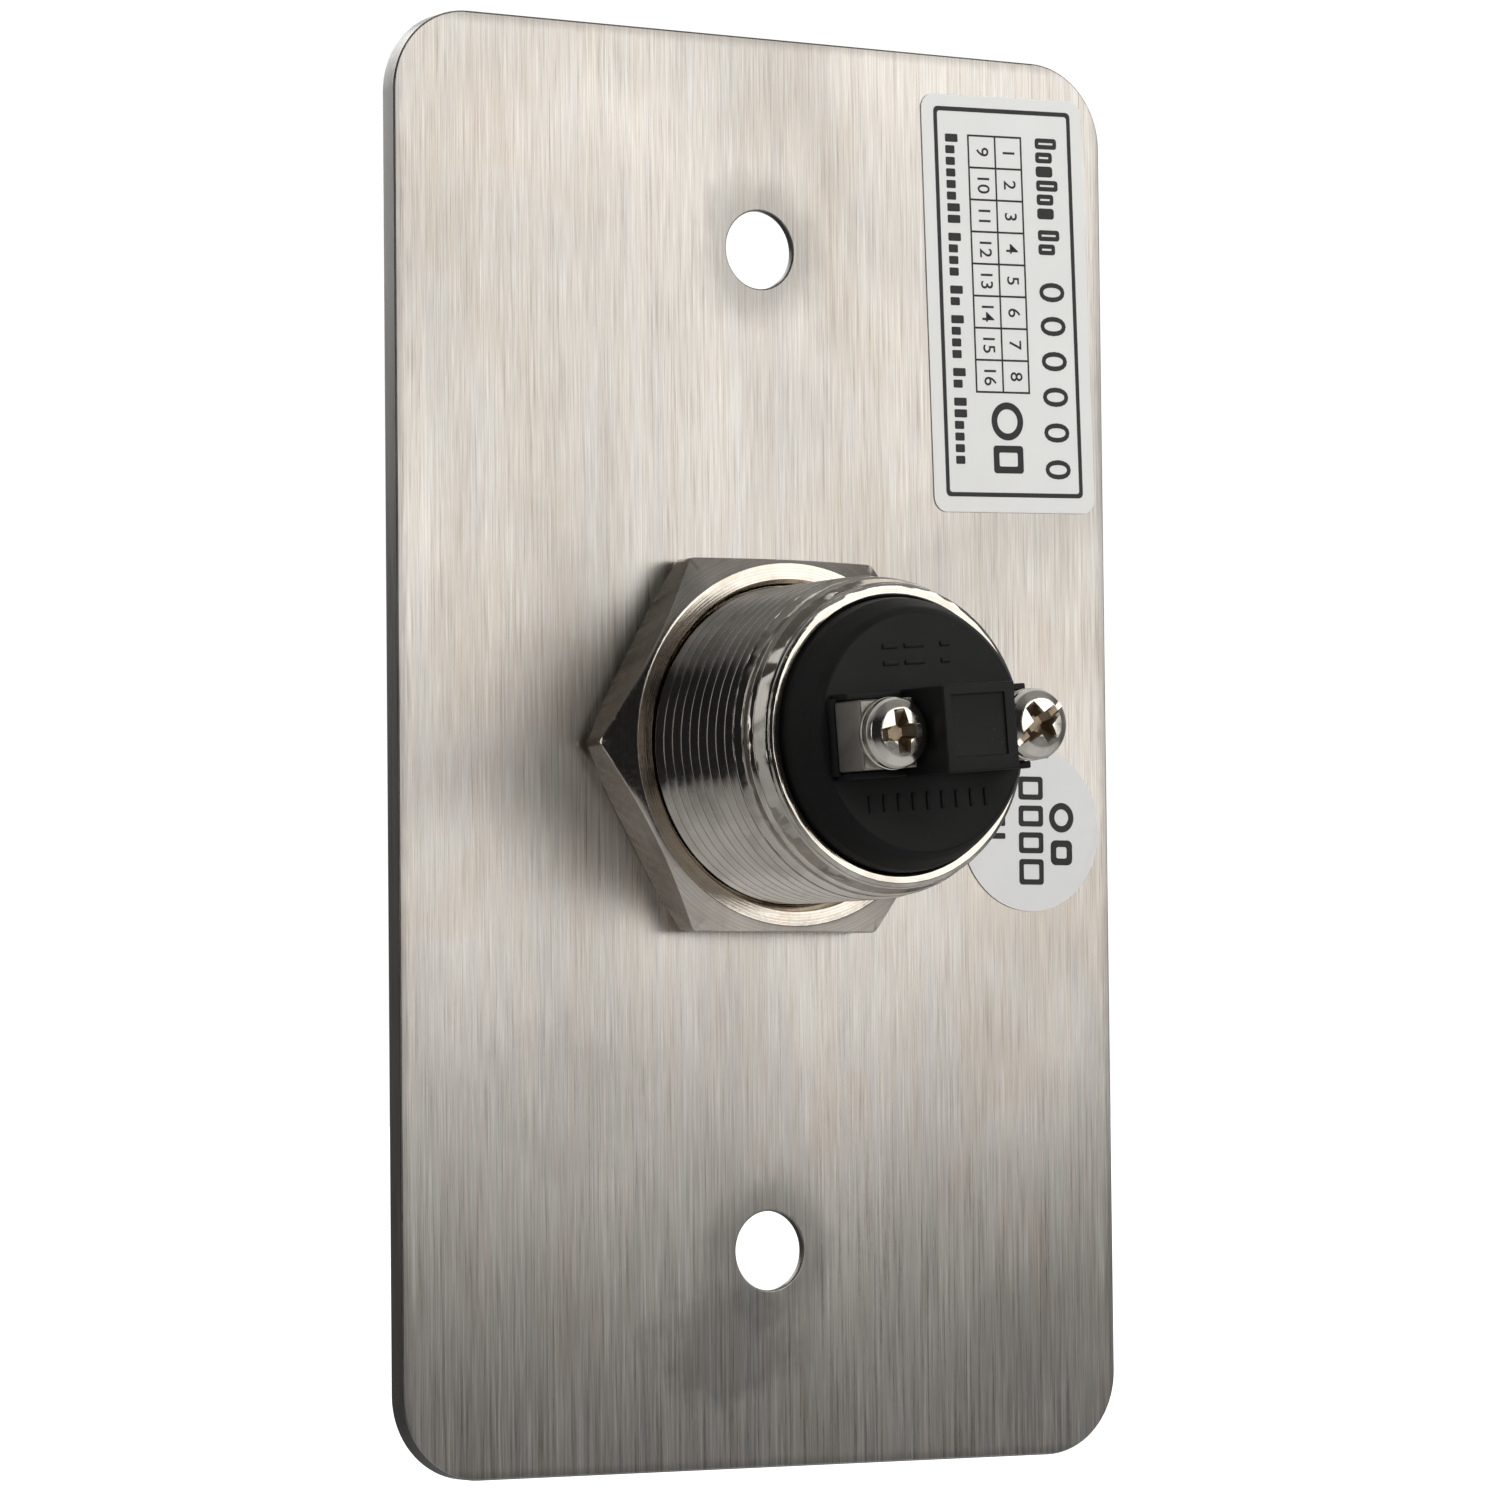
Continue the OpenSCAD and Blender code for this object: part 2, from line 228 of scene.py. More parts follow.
# ------------------------------------------------------------------ materials
def mat_plate():
    n = Nodes("brushed_plate")
    x, y, z = n.xyz()
    # vertical brushing: long thin streaks at three widths
    fine = n.noise(n.mapping((9500, 9500, 150)), 1, 2, 0.6)
    mid = n.noise(n.mapping((3600, 3600, 60)), 1, 3, 0.65)
    wide = n.noise(n.mapping((700, 700, 16)), 1, 3, 0.6)
    cloud = n.noise(n.mapping((34, 34, 26)), 1, 3, 0.55, 0.4)
    streak = n.math("ADD", n.math("MULTIPLY", fine, 0.42), n.math("MULTIPLY", mid, 0.46))
    streak = n.math("ADD", streak, n.math("MULTIPLY", wide, 0.12))
    cool = n.ramp(streak, [(0.36, (0.365, 0.345, 0.335)), (0.46, (0.54, 0.516, 0.50)), (0.54, (0.635, 0.612, 0.598)), (0.64, (0.785, 0.768, 0.76))])
    warm = n.ramp(streak, [(0.36, (0.375, 0.333, 0.30)), (0.46, (0.555, 0.502, 0.462)), (0.54, (0.65, 0.602, 0.562)), (0.64, (0.79, 0.75, 0.72))])
    tint = n.maprange(n.noise(n.mapping((900, 900, 26), (3, 1, 2)), 1, 3, 0.6), 0.42, 0.60, 0, 1)
    col = n.mix(n.math("MULTIPLY", tint, 0.5), cool, warm)
    dark = n.maprange(cloud, 0.35, 0.65, 0.84, 1.02)
    col = n.mix(1.0, col, n.combine(dark, dark, dark), "MULTIPLY")
    # warm handling stains, and duller patches near the lower screw hole
    warmth = n.maprange(n.noise(n.mapping((60, 60, 48), (7, 2, 4)), 1, 3, 0.6, 0.5), 0.52, 0.68, 0.0, 0.55, True)
    col = n.mix(warmth, col, n.mix(1.0, col, (0.97, 0.90, 0.85), "MULTIPLY"))
    for px, pz, rx, rz, k in ((4.5, -50.0, 7.5, 5.5, 0.72), (20.0, -29.0, 9.0, 7.0, 0.88), (-26.0, -50.0, 6.0, 7.0, 0.90), (24.0, 14.0, 8.0, 9.0, 0.93)):
        ax = n.math("MULTIPLY", n.math("SUBTRACT", x, px * MM), 1000 / rx)
        az = n.math("MULTIPLY", n.math("SUBTRACT", z, pz * MM), 1000 / rz)
        d = n.math("SQRT", n.math("ADD", n.math("MULTIPLY", ax, ax), n.math("MULTIPLY", az, az)))
        d = n.math("ADD", d, n.math("MULTIPLY", n.math("SUBTRACT", n.noise(n.mapping((260, 260, 190), (px, 0, pz)), 1, 3, 0.6), 0.5), 1.3))
        patch = n.maprange(d, 0.55, 1.15, k, 1.0, True)
        col = n.mix(1.0, col, n.combine(patch, patch, patch), "MULTIPLY")
    # smudged, duller metal round each screw hole
    for s in (-1, 1):
        dz = n.math("SUBTRACT", z, s * HOLE_S / 2 * MM)
        d = n.math("SQRT", n.math("ADD", n.math("MULTIPLY", x, x), n.math("MULTIPLY", dz, dz)))
        wob = n.math("MULTIPLY", n.math("SUBTRACT", n.noise(n.mapping((330, 330, 200)), 1, 2), 0.5), 0.004)
        ring = n.maprange(n.math("ADD", d, wob), 0.0036, 0.0078, 0.70, 1.0, True)
        col = n.mix(1.0, col, n.combine(ring, ring, n.math("MULTIPLY", ring, 0.985)), "MULTIPLY")
    # worn, greyer border where the edges were broken
    ex = n.math("SUBTRACT", PLATE_W / 2 * MM, n.math("ABSOLUTE", x))
    ez = n.math("SUBTRACT", PLATE_H / 2 * MM, n.math("ABSOLUTE", z))
    edge = n.math("MINIMUM", ex, ez)
    edge = n.math("ADD", edge, n.math("MULTIPLY", n.math("SUBTRACT", n.noise(n.mapping((900, 900, 300)), 1, 3), 0.5), 0.0009))
    border = n.maprange(edge, 0.0001, 0.0011, 0.72, 1.0, True)
    col = n.mix(1.0, col, n.combine(border, border, border), "MULTIPLY")
    # sheared edge is darker than the faces
    geo = n.t.nodes.new("ShaderNodeNewGeometry")
    ny = n.math("ABSOLUTE", n.xyz(geo.outputs["Normal"])[1])
    side = n.maprange(ny, 0.35, 0.85, 0.0, 1.0)
    col = n.mix(side, n.mix(1.0, col, (0.20, 0.20, 0.195), "MULTIPLY"), col)
    rough = n.maprange(mid, 0.3, 0.7, 0.25, 0.37)
    rough = n.math("ADD", rough, n.maprange(cloud, 0.3, 0.7, 0.03, -0.02))
    h = n.math("ADD", n.math("MULTIPLY", fine, 0.7), n.math("MULTIPLY", mid, 0.5))
    n.set(Base_Color=col, Roughness=rough, Metallic=1.0, Normal=n.bump(h, 0.22, 0.00003))
    n.b.inputs["Anisotropic"].default_value = 0.55
    tan = n.t.nodes.new("ShaderNodeTangent")
    tan.direction_type = "UV_MAP"
    tan.uv_map = "brushing"
    n.link(tan.outputs[0], n.b.inputs["Tangent"])
    return n.mat


def mat_nickel(name, tone=(0.74, 0.715, 0.67), r0=0.10, r1=0.22, marks=None, face=4.0, other=0.10, stain=0.25, bump=0.08, blotch=1.0):
    """Bright nickel plate: faint stains, fine turning marks round the Y axis or an even satin."""
    n = Nodes(name)
    x, y, z = n.xyz()
    blot = n.noise(n.mapping((190, 190, 190)), 1, 4, 0.6, 0.6)
    speck = n.noise(n.mapping((2600, 2600, 2600)), 1, 2, 0.5)
    dark = tuple(c * (1 - 0.28 * blotch) for c in tone)
    brown = (tone[0] * 0.70, tone[1] * 0.60, tone[2] * 0.48)
    col = n.ramp(blot, [(0.28, dark), (0.48, tone), (0.72, tuple(min(1, c * (1 + 0.10 * blotch)) for c in tone))])
    warm = n.maprange(n.noise(n.mapping((420, 420, 420), (5, 3, 1)), 1, 3, 0.6), 0.55, 0.75, 0, stain)
    col = n.mix(warm, col, brown)
    rough = n.maprange(speck, 0.3, 0.7, r0, r1)
    h = n.math("MULTIPLY", speck, 0.5)
    if marks:
        cx, cz = marks
        dx = n.math("SUBTRACT", x, cx * MM)
        dz = n.math("SUBTRACT", z, cz * MM)
        d = n.math("SQRT", n.math("ADD", n.math("MULTIPLY", dx, dx), n.math("MULTIPLY", dz, dz)))
        rings = n.noise(n.combine(n.math("MULTIPLY", d, 9000), n.math("MULTIPLY", y, 3500), 0.0), 1, 2, 0.6)
        geo = n.t.nodes.new("ShaderNodeNewGeometry")
        ny = n.xyz(geo.outputs["Normal"])[1]
        flat = n.maprange(ny, 0.955, 0.985, other, 1.0)
        h = n.math("ADD", h, n.math("MULTIPLY", rings, n.math("MULTIPLY", flat, face)))
        col = n.mix(n.math("MULTIPLY", n.maprange(rings, 0.35, 0.65, 0.0, 0.45), flat), col, brown)
    n.set(Base_Color=col, Roughness=rough, Metallic=1.0, Normal=n.bump(h, bump, 0.00004))
    return n.mat


def mat_screw(name, base_y, cx):
    """Bright domed head whose driver recess, below the dome's own surface, is rougher and painted dark brown as shade.
    """
    mat = mat_nickel(name, (0.84, 0.80, 0.73), 0.12, 0.22, None, stain=0.25, bump=0.05)
    n = Nodes.__new__(Nodes)
    n.mat, n.t = mat, mat.node_tree
    n.b = [k for k in n.t.nodes if k.type == "BSDF_PRINCIPLED"][0]
    n.co = n.t.nodes.new("ShaderNodeTexCoord").outputs["Object"]
    x, y, z = n.xyz()
    a = math.radians(CLOCK)
    dx = n.math("SUBTRACT", x, cx * math.cos(a) * MM)
    dz = n.math("SUBTRACT", z, -cx * math.sin(a) * MM)
    r2 = n.math("ADD", n.math("MULTIPLY", dx, dx), n.math("MULTIPLY", dz, dz))
    # dome: falls 1 mm over 2.4 mm of radius, nearly as r squared
    dome = n.math("SUBTRACT", (base_y + DOME_H) * MM, n.math("MULTIPLY", r2, 0.060 * 1000))
    depth = n.math("SUBTRACT", dome, y)
    recess_shade_mask = n.maprange(depth, 0.00014, 0.00040, 0.0, 1.0, True)
    inside = n.maprange(r2, 4.4e-6, 5.2e-6, 1.0, 0.0)
    above = n.maprange(y, (base_y + 0.15) * MM, (base_y + 0.35) * MM, 0.0, 1.0)
    recess_shade_mask = n.math("MULTIPLY", n.math("MULTIPLY", recess_shade_mask, inside), above)
    col = n.b.inputs["Base Color"].links[0].from_socket
    # painted shade: the driver recess is coloured dark brown for the shade inside it, and made rougher
    n.set(Base_Color=n.mix(recess_shade_mask, col, (0.30, 0.235, 0.165)))
    rg = n.b.inputs["Roughness"].links[0].from_socket
    n.set(Roughness=n.math("ADD", rg, n.math("MULTIPLY", recess_shade_mask, 0.22)))
    return mat


def mat_plastic(name, tone, rough=0.5, grain=1500, bump=0.12, dust=0.0, spec=0.35):
    n = Nodes(name)
    g = n.noise(n.mapping((grain, grain, grain)), 1, 3, 0.55)
    g2 = n.noise(n.mapping((240, 240, 240)), 1, 3, 0.6)
    col = n.ramp(g2, [(0.3, tuple(c * 0.8 for c in tone)), (0.5, tone), (0.7, tuple(c * 1.25 for c in tone))])
    if dust:
        d = n.maprange(n.noise(n.mapping((3800, 3800, 3800), (2, 2, 2)), 1, 2, 0.5), 0.70, 0.78, 0, dust)
        col = n.mix(d, col, (0.22, 0.21, 0.20))
    r = n.maprange(g2, 0.3, 0.7, rough - 0.07, rough + 0.07)
    n.set(Base_Color=col, Roughness=r, Metallic=0.0, Normal=n.bump(g, bump, 0.00005))
    n.b.inputs["Specular IOR Level"].default_value = spec
    return n.mat


def mat_label(name, tone):
    n = Nodes(name)
    g = n.noise(n.mapping((1800, 1800, 1800)), 1, 3, 0.5)
    g2 = n.noise(n.mapping((120, 120, 90)), 1, 2, 0.5)
    col = n.ramp(g2, [(0.3, tuple(c * 0.955 for c in tone)), (0.7, tone)])
    n.set(Base_Color=col, Roughness=n.maprange(g, 0.3, 0.7, 0.34, 0.46), Metallic=0.0, Normal=n.bump(g, 0.05, 0.00002))
    return n.mat


def mat_ink():
    n = Nodes("print_ink")
    g = n.noise(n.mapping((2600, 2600, 2600)), 1, 3, 0.6)
    col = n.ramp(g, [(0.35, (0.006, 0.006, 0.006)), (0.7, (0.018, 0.017, 0.018))])
    n.set(Base_Color=col, Roughness=n.maprange(g, 0.3, 0.7, 0.42, 0.58), Metallic=0.0)
    return n.mat


def mat_wire(name, tone=(0.5, 0.5, 0.52)):
    n = Nodes(name)
    g = n.noise(n.mapping((2200, 2200, 2200)), 1, 3, 0.6)
    col = n.ramp(g, [(0.3, tuple(c * 0.7 for c in tone)), (0.7, tone)])
    n.set(Base_Color=col, Roughness=n.maprange(g, 0.3, 0.7, 0.22, 0.36), Metallic=1.0, Normal=n.bump(g, 0.08, 0.00003))
    return n.mat


M = {
    "plate": mat_plate(),
    "barrel": mat_nickel("nickel_barrel", (0.82, 0.785, 0.73), 0.06, 0.15, (0, 0), face=1.6, other=0.8, stain=0.25, bump=0.05),
    "nut": mat_nickel("nickel_nut", (0.80, 0.755, 0.695), 0.10, 0.20, (0, 0), face=7.0, other=1.1, stain=0.40, bump=0.05),
    "cap": mat_nickel("cap_steel", (0.74, 0.73, 0.715), 0.16, 0.22, (0, 0), face=3.0, other=1.0, stain=0.0, bump=0.05, blotch=0.25),
    "rubber": mat_plastic("black_rubber", (0.020, 0.020, 0.020), 0.62, 1200, 0.20),
    "nylon": mat_plastic("black_nylon", (0.0085, 0.0083, 0.008), 0.50, 1300, 0.10, dust=0.10, spec=0.20),
    "acetal": mat_plastic("black_acetal", (0.025, 0.025, 0.026), 0.38, 1500, 0.06),
    "spring": mat_wire("spring_steel"),
    "brass": mat_wire("contact_brass", (0.80, 0.60, 0.28)),
    "silver": mat_wire("contact_silver", (0.86, 0.85, 0.82)),
    "terminal": mat_nickel("terminal_nickel", (0.36, 0.34, 0.31), 0.40, 0.50, None, stain=0.25, bump=0.10),
    "screw": mat_nickel("screw_nickel", (0.82, 0.79, 0.73), 0.11, 0.20, None, stain=0.30, bump=0.06),
    "head_left": mat_screw("screw_head_left", HEAD_Y, TERM_X),
    "head_right": mat_screw("screw_head_right", HEAD_Y + RIGHT_LIFT, -TERM_X),
    "label": mat_label("label_film", (0.72, 0.72, 0.70)),
    "sticker": mat_label("sticker_paper", (0.67, 0.67, 0.665)),
    "ink": mat_ink(),
}


# ------------------------------------------------------------------ mesh helpers
def finish_mesh(me, sharp=32, weld=None):
    bm = bmesh.new()
    bm.from_mesh(me)
    if weld:
        bmesh.ops.remove_doubles(bm, verts=bm.verts, dist=weld)
    bmesh.ops.recalc_face_normals(bm, faces=bm.faces)
    bm.to_mesh(me)
    bm.free()
    me.shade_smooth()
    me.set_sharp_from_angle(angle=math.radians(sharp))
    me.update()


def new_piece(name, verts, faces, material, body, replaces=(), sharp=32, weld=None, weighted=False):
    """verts are in mm in the row frame."""
    me = bpy.data.meshes.new(name)
    me.from_pydata([Vector(v) * MM for v in verts], [], faces)
    finish_mesh(me, sharp, weld)
    ob = bpy.data.objects.new(name, me)
    bpy.context.scene.collection.objects.link(ob)
    me.materials.append(M[material])
    if weighted:
        md = ob.modifiers.new("wn", "WEIGHTED_NORMAL")
        md.keep_sharp = True
        md.weight = 80
    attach(ob, body)
    if replaces:
        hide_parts(*replaces)
    return ob


def rounded(points, closed=True, steps=4):
    """Polyline of (r, y[, radius]) with each corner that has a radius turned into an arc."""
    out = []
    n = len(points)
    for i, p in enumerate(points):
        rad = p[2] if len(p) > 2 else 0
        p = np.array(p[:2], float)
        if rad <= 0 or (not closed and i in (0, n - 1)):
            out.append(tuple(p))
            continue
        a = np.array(points[i - 1][:2], float) - p
        b = np.array(points[(i + 1) % n][:2], float) - p
        la, lb = np.linalg.norm(a), np.linalg.norm(b)
        a, b = a / la, b / lb
        half = math.acos(max(-1, min(1, float(a @ b)))) / 2
        if half > math.pi / 2 - 0.02:
            out.append(tuple(p))
            continue
        t = min(rad / math.tan(half), la * 0.49, lb * 0.49)
        rad = t * math.tan(half)
        c = p + (a + b) / np.linalg.norm(a + b) * (rad / math.sin(half))
        s, e = p + a * t - c, p + b * t - c
        ang0 = math.atan2(s[1], s[0])
        d = math.atan2(e[1], e[0]) - ang0
        d = (d + math.pi) % TAU - math.pi
        for k in range(steps + 1):
            g = ang0 + d * k / steps
            out.append((c[0] + rad * math.cos(g), c[1] + rad * math.sin(g)))
    return out


def revolve(profile, seg=96, centre=(0, 0), closed=True):
    """Revolves (r, y) points about the axis along Y through centre (x, z). Points with r 0 become one vertex."""
    verts, faces, ring = [], [], []
    for r, y in profile:
        if r < 1e-9:
            ring.append([len(verts)])
            verts.append((centre[0], y, centre[1]))
        else:
            ring.append(list(range(len(verts), len(verts) + seg)))
            for i in range(seg):
                a = TAU * i / seg
                verts.append((centre[0] + r * math.cos(a), y, centre[1] + r * math.sin(a)))
    n = len(ring)
    for i in range(n if closed else n - 1):
        a, b = ring[i], ring[(i + 1) % n]
        if len(a) == 1 and len(b) == 1:
            continue
        for k in range(seg):
            k2 = (k + 1) % seg
            if len(a) == 1:
                faces.append((a[0], b[k2], b[k]))
            elif len(b) == 1:
                faces.append((a[k], a[k2], b[0]))
            else:
                faces.append((a[k], a[k2], b[k2], b[k]))
    return verts, faces


def grid_faces(rows, cols, wrap_rows, wrap_cols):
    f = []
    for i in range(rows if wrap_rows else rows - 1):
        for k in range(cols if wrap_cols else cols - 1):
            i2, k2 = (i + 1) % rows, (k + 1) % cols
            f.append((i * cols + k, i * cols + k2, i2 * cols + k2, i2 * cols + k))
    return f


def join_parts(parts):
    verts, faces = [], []
    for v, f in parts:
        o = len(verts)
        verts += list(v)
        faces += [tuple(i + o for i in q) for q in f]
    return verts, faces


def turned(verts, deg=CLOCK):
    """Turns points about the Y axis, as the terminal insert sits in the barrel."""
    a = math.radians(deg)
    c, s = math.cos(a), math.sin(a)
    return [(x * c + z * s, y, -x * s + z * c) for x, y, z in verts]


def rounded_box(lo, hi, r=0.25, seg=3):
    """A box with round edges, as a closed mesh, by pushing a subdivided cube's points onto a round box."""
    lo, hi = np.array(lo, float), np.array(hi, float)
    r = min(r, float((hi - lo).min()) / 2.01)
    axes = []
    for k in range(3):
        a = [lo[k] + r * (1 - math.cos(math.pi / 2 * i / seg)) for i in range(seg + 1)]
        b = [hi[k] - r * (1 - math.cos(math.pi / 2 * i / seg)) for i in range(seg, -1, -1)]
        axes.append(a + b)
    n = [len(a) for a in axes]
    idx, verts = {}, []

    def vert(i, j, k):
        if (i, j, k) not in idx:
            p = np.array([axes[0][i], axes[1][j], axes[2][k]])
            inner = np.clip(p, lo + r, hi - r)
            d = p - inner
            # cube point to sphere direction by using the angle parameters
            q = []
            for m, (c, cnt) in enumerate(((i, n[0]), (j, n[1]), (k, n[2]))):
                if c <= seg:
                    q.append(-math.tan(math.pi / 4 * (1 - c / seg)) if seg else -1)
                elif c >= cnt - 1 - seg:
                    q.append(math.tan(math.pi / 4 * (1 - (cnt - 1 - c) / seg)))
                else:
                    q.append(0)
            q = np.array(q)
            m = np.linalg.norm(q)
            if m > 1e-9:
                p = inner + q / m * r
            idx[(i, j, k)] = len(verts)
            verts.append(tuple(p))
        return idx[(i, j, k)]

    faces = []
    for ax in range(3):
        u, v = [a for a in range(3) if a != ax]
        for end in (0, n[ax] - 1):
            for i in range(n[u] - 1):
                for j in range(n[v] - 1):
                    q = []
                    for a, b in ((i, j), (i + 1, j), (i + 1, j + 1), (i, j + 1)):
                        c = [0, 0, 0]
                        c[ax], c[u], c[v] = end, a, b
                        q.append(vert(*c))
                    faces.append(tuple(q))
    return verts, faces


def boolean(ob, cutter_verts, cutter_faces, op="DIFFERENCE"):
    """Cuts a closed mesh (mm points) from ob and applies it."""
    me = bpy.data.meshes.new("cutter")
    me.from_pydata([Vector(v) * MM for v in cutter_verts], [], cutter_faces)
    bm = bmesh.new(); bm.from_mesh(me)
    bmesh.ops.recalc_face_normals(bm, faces=bm.faces)
    bm.to_mesh(me); bm.free()
    cut = bpy.data.objects.new("cutter", me)
    bpy.context.scene.collection.objects.link(cut)
    md = ob.modifiers.new("cut", "BOOLEAN")
    md.object, md.operation, md.solver = cut, op, "EXACT"
    dg = bpy.context.evaluated_depsgraph_get()
    made = bpy.data.meshes.new_from_object(ob.evaluated_get(dg))
    ob.modifiers.remove(md)
    old = ob.data
    ob.data = made
    made.name = old.name
    bpy.data.meshes.remove(old)
    bpy.data.objects.remove(cut)
    bpy.data.meshes.remove(me)


def smooth_again(ob, sharp=32):
    ob.data.shade_smooth()
    ob.data.set_sharp_from_angle(angle=math.radians(sharp))


# ------------------------------------------------------------------ plate
def round_rect_pts(w, h, r, seg=14):
    pts = []
    for cx, cz, a0 in ((w / 2 - r, h / 2 - r, 0), (-w / 2 + r, h / 2 - r, 90), (-w / 2 + r, -h / 2 + r, 180), (w / 2 - r, -h / 2 + r, 270)):
        for i in range(seg + 1):
            a = math.radians(a0 + 90 * i / seg)
            pts.append((cx + r * math.cos(a), cz + r * math.sin(a)))
    return pts


def circle_pts(cx, cz, r, seg):
    return [(cx + r * math.cos(TAU * i / seg), cz + r * math.sin(TAU * i / seg)) for i in range(seg)]


def offset_loop(pts, d):
    """Moves a closed loop inwards (d > 0) along its own normals; loops run counter-clockwise."""
    n = len(pts)
    out = []
    for i in range(n):
        a, b = np.array(pts[i - 1]), np.array(pts[(i + 1) % n])
        t = b - a
        t = t / np.linalg.norm(t)
        out.append((pts[i][0] - t[1] * d, pts[i][1] + t[0] * d))
    return out


def sheet_part(loops, y0, y1, edge=0.18, steps=3):
    """A flat sheet between y0 and y1 with holes and rounded edges. loops[0] is the outside; each is counter-clockwise."""
    verts, faces, first, last = [], [], [], []
    for li, loop in enumerate(loops):
        sgn = 1 if li == 0 else -1
        rings = []
        prof = []
        for k in range(steps + 1):
            a = math.pi / 2 * k / steps
            prof.append((edge * (1 - math.sin(a)), y0 + edge * (1 - math.cos(a))))
        for k in range(steps, -1, -1):
            a = math.pi / 2 * k / steps
            prof.append((edge * (1 - math.sin(a)), y1 - edge * (1 - math.cos(a))))
        for off, y in prof:
            ring = offset_loop(loop, sgn * off) if off > 1e-9 else loop
            rings.append(list(range(len(verts), len(verts) + len(ring))))
            verts += [(p[0], y, p[1]) for p in ring]
        for a, b in zip(rings, rings[1:]):
            n = len(a)
            for k in range(n):
                faces.append((a[k], a[(k + 1) % n], b[(k + 1) % n], b[k]))
        first.append(rings[0]); last.append(rings[-1])
    for side in (first, last):
        flat = [i for ring in side for i in ring]
        tri = tessellate_polygon([[Vector((verts[i][0], verts[i][2], 0)) for i in ring] for ring in side])
        faces += [tuple(flat[i] for i in t) for t in tri]
    return verts, faces


def make_plate():
    outer = round_rect_pts(PLATE_W, PLATE_H, PLATE_R, 20)
    loops = [outer, circle_pts(0, 0, THREAD_R + 0.25, 96), circle_pts(0, HOLE_S / 2, HOLE_R, 64), circle_pts(0, -HOLE_S / 2, HOLE_R, 64)]
    v, f = sheet_part(loops, -PLATE_T, 0.0, 0.16, 3)
    # the screw holes are countersunk from the front: their front rim flares out and leaves a short land at the rear
    for i, (px, py, pz) in enumerate(v):
        for s in (-1, 1):
            dz = pz - s * HOLE_S / 2
            d = math.hypot(px, dz)
            if d < HOLE_R + 1.0 and py < -PLATE_T / 2:
                if d < HOLE_R + 0.01 and py > -PLATE_T + 0.15:
                    v[i] = (px, -0.62, pz)
                else:
                    k = (d + 1.20) / d
                    v[i] = (px * k, py, s * HOLE_S / 2 + dz * k)
    ob = new_piece("plate_sheet", v, f, "plate", "plate_unit", ["wall_plate"], 40, weighted=True)
    # U runs across the plate, so the brushed highlight spreads across the vertical grain
    uv = ob.data.uv_layers.new(name="brushing")
    for lp in ob.data.loops:
        co = ob.data.vertices[lp.vertex_index].co
        uv.data[lp.index].uv = (0.5 + co.x / 0.13, 0.5 + co.z / 0.13)
    return ob


make_plate()


# ------------------------------------------------------------------ threaded barrel and bezel
def thread_rows(y_a, y_b, r_out, depth, pitch, seg, worn=0.0, crest=0.12, run_in=0.7):
    """Rows of a true helical 60 degree thread between y_a and y_b, as (rows, seg+1, 3); both ends run out to r_out."""
    ths = np.linspace(0, TAU, seg + 1)
    fl = min(depth * math.tan(math.radians(30)) / pitch, (1 - crest) / 2 - 0.04)
    e = 0.025
    # phase along one pitch and how deep the surface lies there, 0 at the crest and 1 at the root
    prof = [(0.0, 0.03), (crest * 0.25, 0.0), (crest * 0.75, 0.0), (crest, 0.03), (crest + e, 0.03 + e / fl * 0.95), (crest + fl * 0.5, 0.5),
            (crest + fl - e, 0.97 - e / fl * 0.9), (crest + fl + e * 0.6, 0.985), ((1 + crest) / 2, 1.0), (1 - fl - e * 0.6, 0.985), (1 - fl + e, 0.97 - e / fl * 0.9),
            (1 - fl * 0.5, 0.5), (1 - e, 0.03 + e / fl * 0.95)]
    v0, v1 = math.floor(y_a / pitch) - 1, math.ceil(y_b / pitch) + 1
    rows = []
    wob = RNG.normal(0, 1, (257,))
    for turn in range(v0, v1 + 1):
        for ph, d in prof:
            v = turn + ph
            y = pitch * (v + ths / TAU)
            yc = np.clip(y, y_a, y_b)
            fade = np.clip((yc - y_a) / (pitch * run_in), 0, 1) * np.clip((y_b - yc) / (pitch * run_in), 0, 1)
            fade = fade * fade * (3 - 2 * fade)
            w = 0
            if worn:
                k = (ths / TAU * 83 + turn * 31.7)
                w = worn * np.interp(k % 256, np.arange(257), wob) * (1 - d)
            r = r_out - depth * d * fade - np.abs(w) * fade
            rows.append(np.stack([r * np.cos(ths), yc, r * np.sin(ths)], 1))
    return rows


def ring_row(r, y, seg):
    ths = np.linspace(0, TAU, seg + 1)
    return np.stack([r * np.cos(ths), np.full(seg + 1, float(y)), r * np.sin(ths)], 1)


